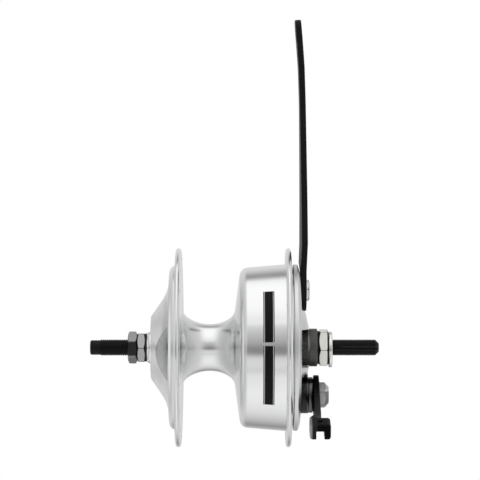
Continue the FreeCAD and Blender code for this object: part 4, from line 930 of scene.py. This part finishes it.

# %% [markdown]
# ## Brake plate
# The plate has a satin turned face. It is rougher at its rim, has painted shade round the spacer, and has a
# thin painted highlight on the lip under the spacer. Each place is one more mask over the same metal.

# %% Satin brake plate
satin_plate, tree, shader = new_material("satin_plate", (0.80, 0.805, 0.81), 1.0)
mottle_node = add_mottle(tree, shader, 0.26, 0.05, 70.0, 2600.0)
shade((0.77, 0.775, 0.78), (0.84, 0.845, 0.85), tree, shader, mottle_node.outputs["Smudge"])
along, sideways, upward = own_axes(tree)
radius_here = distance_off(tree, sideways, upward)
rim = fade(tree, radius_here, 36.5, 38.0)
lip_highlight = times(tree, band(tree, upward, -10.0, -9.0, 0.1), fade(tree, along, 36.0, 36.2))
spacer_shade = times(tree, fade(tree, radius_here, 14.0, 10.5), fade(tree, along, 35.8, 36.1))
# Painted shade round the spacer.
paint_over(tree, shader, spacer_shade, (0.42, 0.42, 0.425))
# Painted highlight on the lip under the spacer, which is also made less metallic there.
paint_over(tree, shader, lip_highlight, (0.95, 0.95, 0.95))
tree.links.new(maths(tree, "MULTIPLY_ADD", lip_highlight, -0.9, 1.0), shader.inputs["Metallic"])
rim_and_lip_highlight = maths(tree, "ADD", times(tree, rim, 0.12), times(tree, lip_highlight, 0.35))
plate_rough = maths(tree, "ADD", mottle_node.outputs["Roughness"], rim_and_lip_highlight)
tree.links.new(plate_rough, shader.inputs["Roughness"])
marks_node = add_marks(tree, 1600.0, 1600.0)
add_bump(tree, shader, marks_node.outputs["Height"], 0.006)
print("plate finish made of", len(tree.nodes), "nodes")

# %% [markdown]
# ## The other metals, paint and rubber
# These pieces are small, so each has one even finish with a slow drift of colour and a fine grain. A black
# coating isn't metallic and shines little. Plated steel is metallic, and each plated piece has its own
# brightness.

# %% Black coatings
def black_coat(name, low, high, roughness, smudge, grain, depth, specular=0.15):
    """A coating that isn't metallic and shines little."""
    return plain_metal(name, low, high, roughness, smudge, grain, depth, 0.0, specular=specular)


OXIDE = ((0.004, 0.004, 0.0045), (0.010, 0.010, 0.011), 0.36, 0.06, 2400.0, 0.012)
black_oxide = black_coat("black_oxide", *OXIDE)
keyed_thread = black_coat("keyed_thread", *OXIDE)
black_paint = black_coat("black_paint", (0.005, 0.005, 0.0055), (0.009, 0.009, 0.010), 0.42, 0.05, 900.0, 0.010)
lever_paint = black_coat("lever_paint", (0.001, 0.001, 0.0012), (0.003, 0.003, 0.003), 0.42, 0.05, 900.0, 0.010,
                         0.06)
rubber_seal = plain_metal("rubber_seal", (0.018, 0.018, 0.018), (0.03, 0.03, 0.03), 0.6, 0.08, 1800.0, 0.02,
                          0.0)
print("black coatings made")

# %% Plated and bare steel
chromed = plain_metal("dull_chrome", (0.33, 0.33, 0.335), (0.40, 0.40, 0.40), 0.11, 0.04, 1800.0, 0.004)
# Chrome of the outer left locknut, which gets a painted dark reflection on its middle facet further down.
chrome_with_painted_facet = plain_metal("chrome_with_painted_facet", (0.26, 0.26, 0.262), (0.32, 0.32, 0.322), 0.10, 0.04, 1800.0, 0.004)
bright_cap = plain_metal("bright_cap", (0.80, 0.80, 0.81), (0.88, 0.88, 0.88), 0.12, 0.03, 1800.0, 0.003)
nickelled = plain_metal("nickel_plate", (0.58, 0.575, 0.54), (0.72, 0.715, 0.68), 0.17, 0.06, 900.0, 0.02,
                        smudge_size=260.0)
bright_nickel = plain_metal("bright_nickel", (0.78, 0.77, 0.73), (0.90, 0.89, 0.86), 0.20, 0.06, 900.0, 0.02,
                            smudge_size=260.0)
anchor_zinc = plain_metal("anchor_nut_zinc", (0.56, 0.56, 0.56), (0.78, 0.78, 0.78), 0.20, 0.08, 900.0, 0.02,
                          smudge_size=300.0)
zinc_plate = plain_metal("zinc_plate", (0.36, 0.36, 0.355), (0.46, 0.46, 0.455), 0.30, 0.06, 1600.0, 0.015)
lever_zinc = plain_metal("lever_nut_zinc", (0.37, 0.37, 0.365), (0.47, 0.47, 0.465), 0.28, 0.06, 1600.0, 0.015)
dark_spacer = plain_metal("dark_spacer", (0.085, 0.085, 0.078), (0.13, 0.13, 0.12), 0.46, 0.06, 1500.0, 0.02,
                          0.6)
oiled_black = plain_metal("oiled_black", (0.025, 0.025, 0.026), (0.040, 0.040, 0.041), 0.24, 0.06, 2400.0,
                          0.008)
print("plated steel made")

# %% Pieces inside the drum
bearing_metal = plain_metal("bearing_metal", (0.56, 0.56, 0.57), (0.66, 0.66, 0.67), 0.14, 0.04, 1800.0, 0.002)
iron_ring = plain_metal("iron_ring", (0.22, 0.22, 0.22), (0.30, 0.30, 0.29), 0.42, 0.08, 1500.0, 0.02)
shoe_casting = plain_metal("shoe_casting", (0.60, 0.60, 0.61), (0.70, 0.70, 0.71), 0.5, 0.08, 1200.0, 0.05)
lining_block = plain_metal("lining_block", (0.10, 0.085, 0.07), (0.17, 0.14, 0.11), 0.85, 0.08, 1400.0, 0.08,
                           0.0)
spring_wire = plain_metal("spring_wire", (0.36, 0.36, 0.37), (0.46, 0.46, 0.46), 0.3, 0.06, 1600.0, 0.005)
print("inner finishes made")

# %% [markdown]
# ## Painted shade on a nut's edges
# A plated nut gets painted shade along its corners and on the bevels at its ends. Both places are easy to find:
# a corner is as far off the nut's axis as the nut goes, and the bevel is the cone that the blank was turned to.

# %% Painted shade on the nuts' corners and bevels
def paint_edge_shade(material, colour, ends, start, width, flats, height=0.0, slope=0.27, face_share=0.475):
    """Paints shade on a nut's corners, and on the bevels at the ends that are named."""
    tree, shader, along, sideways, upward = opened(material)
    off = distance_off(tree, sideways, upward, height)
    corner = corner_radius(flats)
    cone = times(tree, maths(tree, "SUBTRACT", off, flats * face_share * MM), 2 * slope)
    mask = fade(tree, off, corner - 0.18, corner - 0.05)
    for end in ends.split():
        inward = maths(tree, "SUBTRACT", along, start * MM)
        if end == "right":
            inward = maths(tree, "SUBTRACT", (start + width) * MM, along)
        mask = maths(tree, "MAXIMUM", mask, fade(tree, maths(tree, "SUBTRACT", inward, cone), 0.22, 0.08))
    paint_over(tree, shader, mask, colour)


paint_edge_shade(chromed, (0.12, 0.12, 0.12), "left right", **NUTS["left_locknut_inner"])
paint_edge_shade(nickelled, (0.30, 0.295, 0.27), "left right", **NUTS["right_locknut_wide"])
paint_edge_shade(anchor_zinc, (0.16, 0.16, 0.16), "right", **NUTS["anchor_pin_nut"])
paint_edge_shade(lever_zinc, (0.20, 0.20, 0.20), "right", **NUTS["brake_lever_nut"])
print("nut edges marked")

# %% [markdown]
# Three nuts have one more painted mark each: the right locknut a painted shadow on its outer rim beside the
# washer, the lever's nut a painted highlight on its upper facet, and the outer left locknut a painted dark
# reflection on the facet in the middle, which faces the lens.

# %% Painted shadow, highlight and reflection on three nuts
tree, shader, along, sideways, upward = opened(nickelled)
# Painted shadow on the right locknut's outer rim, beside the washer.
paint_over(tree, shader, fade(tree, along, 49.2, 49.4), (0.05, 0.05, 0.045))
tree, shader, along, sideways, upward = opened(lever_zinc)
upper_facet_highlight = times(tree, fade(tree, upward, CAM_HEIGHT + 1.9, CAM_HEIGHT + 2.3), 0.6)
# Painted highlight on the lever nut's upper facet.
paint_over(tree, shader, upper_facet_highlight, (0.9, 0.9, 0.9))
tree, shader, along, sideways, upward = opened(chrome_with_painted_facet)
# Painted dark reflection on the outer locknut's middle facet.
paint_over(tree, shader, band(tree, upward, -3.8, 3.2, 0.3), (0.035, 0.035, 0.0355))
print("three nuts marked")

# %% [markdown]
# ## Painted highlights and marks on the black pieces
# The keyway's edges show as two thin grey lines of painted highlight on the thread, and the bush has a paler
# band of painted highlight. The spacer is stippled darker at its foot, and the upper half of its chamfer
# carries a painted highlight. The lever's blade greys towards its channel. At the channel, painted light makes
# the left cheek lighter than the channel, and a painted highlight runs along the cheek's rounded left edge.

# %% Painted highlights on the thread, bush and spacer
tree, shader, along, sideways, upward = opened(keyed_thread)
# Painted highlights along the keyway's upper and lower edges.
upper_keyway_highlight = times(tree, band(tree, upward, 0.3, 0.68, 0.04), fade(tree, along, 55.0, 58.0))
paint_over(tree, shader, upper_keyway_highlight, (0.07, 0.07, 0.07))
paint_over(tree, shader, band(tree, upward, -1.5, -0.9, 0.06), (0.022, 0.022, 0.022))
tree, shader, along, sideways, upward = opened(oiled_black)
# Painted highlight: a paler band round the bush.
paint_over(tree, shader, band(tree, along, 39.3, 41.8, 0.2), (0.12, 0.12, 0.122))
tree, shader, along, sideways, upward = opened(dark_spacer)
# Darker stipple at the spacer's foot.
own_place = add_node(tree, "ShaderNodeTexCoord").outputs["Object"]
stipple_noise = add_node(tree, "ShaderNodeTexNoise", {"Vector": own_place, "Scale": 1700.0, "Detail": 2.0})
stipple = times(tree, remap(tree, stipple_noise.outputs[0], 0.42, 0.6), fade(tree, along, 39.7, 39.5))
paint_over(tree, shader, stipple, (0.025, 0.025, 0.022))
# Painted highlight on the upper half of the spacer's chamfer.
chamfer_highlight = times(tree, band(tree, along, 39.75, 40.6, 0.1), fade(tree, upward, -2.0, 1.0))
paint_over(tree, shader, chamfer_highlight, (0.36, 0.36, 0.35))
print("thread, bush and spacer worn")

# %% Painted light at the lever's end
tree, shader, along, sideways, upward = opened(lever_paint)
# The blade greys towards the channel.
strip = times(tree, fade(tree, sideways, -12.0, -38.0), fade(tree, sideways, -41.0, -39.5))
paint_over(tree, shader, strip, (0.05, 0.05, 0.051))
at_end = fade(tree, sideways, -38.5, -40.0)
# Painted light: the left cheek is lighter than the channel, which stays dark as in shade.
lit_cheek = times(tree, at_end, fade(tree, along, 43.1, 42.7))
paint_over(tree, shader, lit_cheek, (0.020, 0.020, 0.021))
# Painted highlight along the cheek's rounded left edge, with some metal sheen.
painted_highlight = times(tree, at_end, fade(tree, along, 40.75, 39.85))
paint_over(tree, shader, painted_highlight, (0.42, 0.42, 0.425))
tree.links.new(times(tree, painted_highlight, 0.6), shader.inputs["Metallic"])
print("lever worn")

# %% [markdown]
# ## Handing the finishes out
# One table says which pieces wear which finish, so a piece that was forgotten is easy to spot.

# %% Give every piece its finish
FINISHES = {
    polished: [shell],
    satin_plate: [plate],
    black_oxide: [left_end, left_tip, axle_core, "thin_lock_washer"],
    keyed_thread: [right_end],
    oiled_black: ["cam_bush_black"],
    black_paint: [arm],
    lever_paint: [lever],
    chromed: ["left_locknut_inner"],
    chrome_with_painted_facet: ["left_locknut_outer"],
    bright_cap: ["left_cap"],
    nickelled: ["right_locknut_wide"],
    bright_nickel: ["hanging_washer"],
    anchor_zinc: ["anchor_pin_nut"],
    lever_zinc: ["brake_lever_nut"],
    zinc_plate: ["cam_spindle", "anchor_pin", "distance_tube", "right_bearing_sleeve",
                 "left_ball_cage", "right_ball_cage"],
    dark_spacer: ["spacer_beside_plate"],
    rubber_seal: ["left_dust_washer", "left_bearing_left_seal", "left_bearing_right_seal",
                  "right_bearing_left_seal", "right_bearing_right_seal"],
    bearing_metal: ["left_inner_race", "left_outer_race", "left_balls", "right_inner_race", "right_outer_race",
                    "right_balls"],
    iron_ring: ["drum_liner"],
    shoe_casting: ["front_shoe", "rear_shoe"],
    lining_block: ["front_lining", "rear_lining"],
    spring_wire: spring_halves,
}
for material, pieces in FINISHES.items():
    for piece in pieces:
        piece = bpy.data.objects[piece] if isinstance(piece, str) else piece
        piece.data.materials.clear()
        piece.data.materials.append(material)
print("finishes on", sum(len(pieces) for pieces in FINISHES.values()), "pieces")

# %% [markdown]
# ## Studio
# Metal shows its surroundings, so the light is a wide bright room. A cylinder seen from the front reflects a
# whole ring of directions, from the lens over the top and down behind. Each brightness across the drum in the
# photograph therefore belongs to one direction in that ring: white above and below, dark level with the lens,
# and dark again high up behind, before the white paper right behind the hub. The ring is a colour ramp round
# the axle, and a second ramp takes over towards the sides, which the dished end shows.
# What the camera itself sees behind the hub is plain white.

# %% Levels of the light
TENT = [
    (-180, 0.80), (-163, 0.62), (-141, 0.28), (-123, 0.56), (-107, 0.76), (-94, 0.88), (-68, 0.99), (-44, 0.92),
    (-35, 0.88), (-31, 0.64), (-28, 0.68), (-24, 0.82), (-10.5, 0.80), (-7, 0.18), (1, 0.16), (7, 0.36),
    (24, 0.58), (34, 0.76), (37.5, 1.20), (40.5, 0.92), (51, 1.06), (61, 1.14), (99, 1.14), (112, 1.02),
    (120, 0.28), (127, 0.30), (138, 0.60), (149, 0.74), (180, 0.80),
]
SIDES = [(0.0, 0.74), (0.5, 0.68), (0.75, 0.56), (0.85, 0.72), (0.93, 0.86)]
world = bpy.data.worlds.new("light_tent")
bpy.context.scene.world = world
world.use_nodes = True
tree = world.node_tree
tree.nodes.clear()


def level_ramp(where, stops):
    """A ramp of plain greys, with stops given as pairs of place and brightness."""
    ramp = add_node(tree, "ShaderNodeValToRGB", {"Fac": where})
    elements = ramp.color_ramp.elements
    while len(elements) < len(stops):
        elements.new(0.5)
    for element, (place_on_ramp, level) in zip(elements, stops):
        element.position = place_on_ramp
        element.color = (level, level, level, 1.0)
    return ramp.outputs["Color"]


look = add_node(tree, "ShaderNodeTexCoord")
parts = add_node(tree, "ShaderNodeSeparateXYZ", {"Vector": look.outputs["Generated"]})
round_axle = maths(tree, "ARCTAN2", parts.outputs["Z"], times(tree, parts.outputs["Y"], -1.0))
ring_share = maths(tree, "MULTIPLY_ADD", round_axle, 0.5 / math.pi, 0.5)
ring_level = level_ramp(ring_share, [(degrees / 360 + 0.5, level) for degrees, level in TENT])
aside = maths(tree, "ABSOLUTE", parts.outputs["X"])
side_level = level_ramp(aside, SIDES)
print("light tent of", len(TENT), "levels round and", len(SIDES), "to the sides")

# %% [markdown]
# Level with the lens, the room is a little darker to the left. This dip fades out upwards and downwards,
# towards the right, and straight out along the axle. The dished end shows most of it.

# %% Dip at the horizon
above = maths(tree, "ABSOLUTE", parts.outputs["Z"])
dip = remap(tree, above, 0.06, 0.20, 0.30, 0.0)
dip_share = remap(tree, aside, 0.84, 0.92, 1.0, 0.0)
left_share = remap(tree, parts.outputs["X"], -0.3, 0.3, 1.0, 0.2)
side_strength = maths(tree, "SUBTRACT", 1.0, times(tree, times(tree, dip, dip_share), left_share))
side_grey = add_node(tree, "ShaderNodeVectorMath", {0: side_level, "Scale": side_strength}, operation="SCALE")
tent_level = add_node(tree, "ShaderNodeMix", {"Factor": remap(tree, aside, 0.15, 0.42)}, data_type="RGBA")
tree.links.new(ring_level, tent_level.inputs["A"])
tree.links.new(side_grey.outputs[0], tent_level.inputs["B"])


# %% What the camera sees behind the hub
def mix_shaders(tree, share, first, second):
    """The first shader where share is 0, the second where it is 1."""
    return add_node(tree, "ShaderNodeMixShader", {0: share, 1: first, 2: second}).outputs[0]


rays = add_node(tree, "ShaderNodeLightPath")
tent = add_node(tree, "ShaderNodeBackground", {"Color": tent_level.outputs["Result"], "Strength": 1.0})
white = add_node(tree, "ShaderNodeBackground", {"Color": (1, 1, 1, 1), "Strength": 1.0})
seen_or_shown = mix_shaders(tree, rays.outputs["Is Camera Ray"], tent.outputs[0], white.outputs[0])
add_node(tree, "ShaderNodeOutputWorld", {"Surface": seen_or_shown})
print("world made of", len(tree.nodes), "nodes")

# %% [markdown]
# ## Floor
# The hub stands in the air over pale paper. Under the hub the paper takes light as paper does. Further away it
# glows white to the lens, so it runs into the background with no edge. Polished metal doesn't mirror it, since
# the light tent already holds what the metal shows from below.

# %% Floor
FLOOR_HEIGHT = -0.16
deselect_all()
bpy.ops.mesh.primitive_plane_add(size=6.0, location=(0, 0, FLOOR_HEIGHT))
floor = rename("studio_floor")
bpy.ops.object.transform_apply(location=True, rotation=False, scale=False)
pale, tree, shader = new_material("pale_floor", (0.9, 0.9, 0.9), 0.0)
shader.inputs["Roughness"].default_value = 0.8
floor_place = add_node(tree, "ShaderNodeTexCoord")
distance = add_node(tree, "ShaderNodeVectorMath", {0: floor_place.outputs["Object"]}, operation="LENGTH")
far = remap(tree, distance.outputs["Value"], 0.25, 0.45)
light_path = add_node(tree, "ShaderNodeLightPath")
glow = add_node(tree, "ShaderNodeEmission", {"Color": (1, 1, 1, 1), "Strength": 1.0})
paper = mix_shaders(tree, times(tree, light_path.outputs["Is Camera Ray"], far), shader.outputs[0],
                    glow.outputs[0])
clear = add_node(tree, "ShaderNodeBsdfTransparent")
unmirrored = mix_shaders(tree, light_path.outputs["Is Glossy Ray"], paper, clear.outputs[0])
tree.links.new(unmirrored, tree.nodes["Material Output"].inputs["Surface"])
floor.data.materials.append(pale)
print("floor at", FLOOR_HEIGHT, "m")
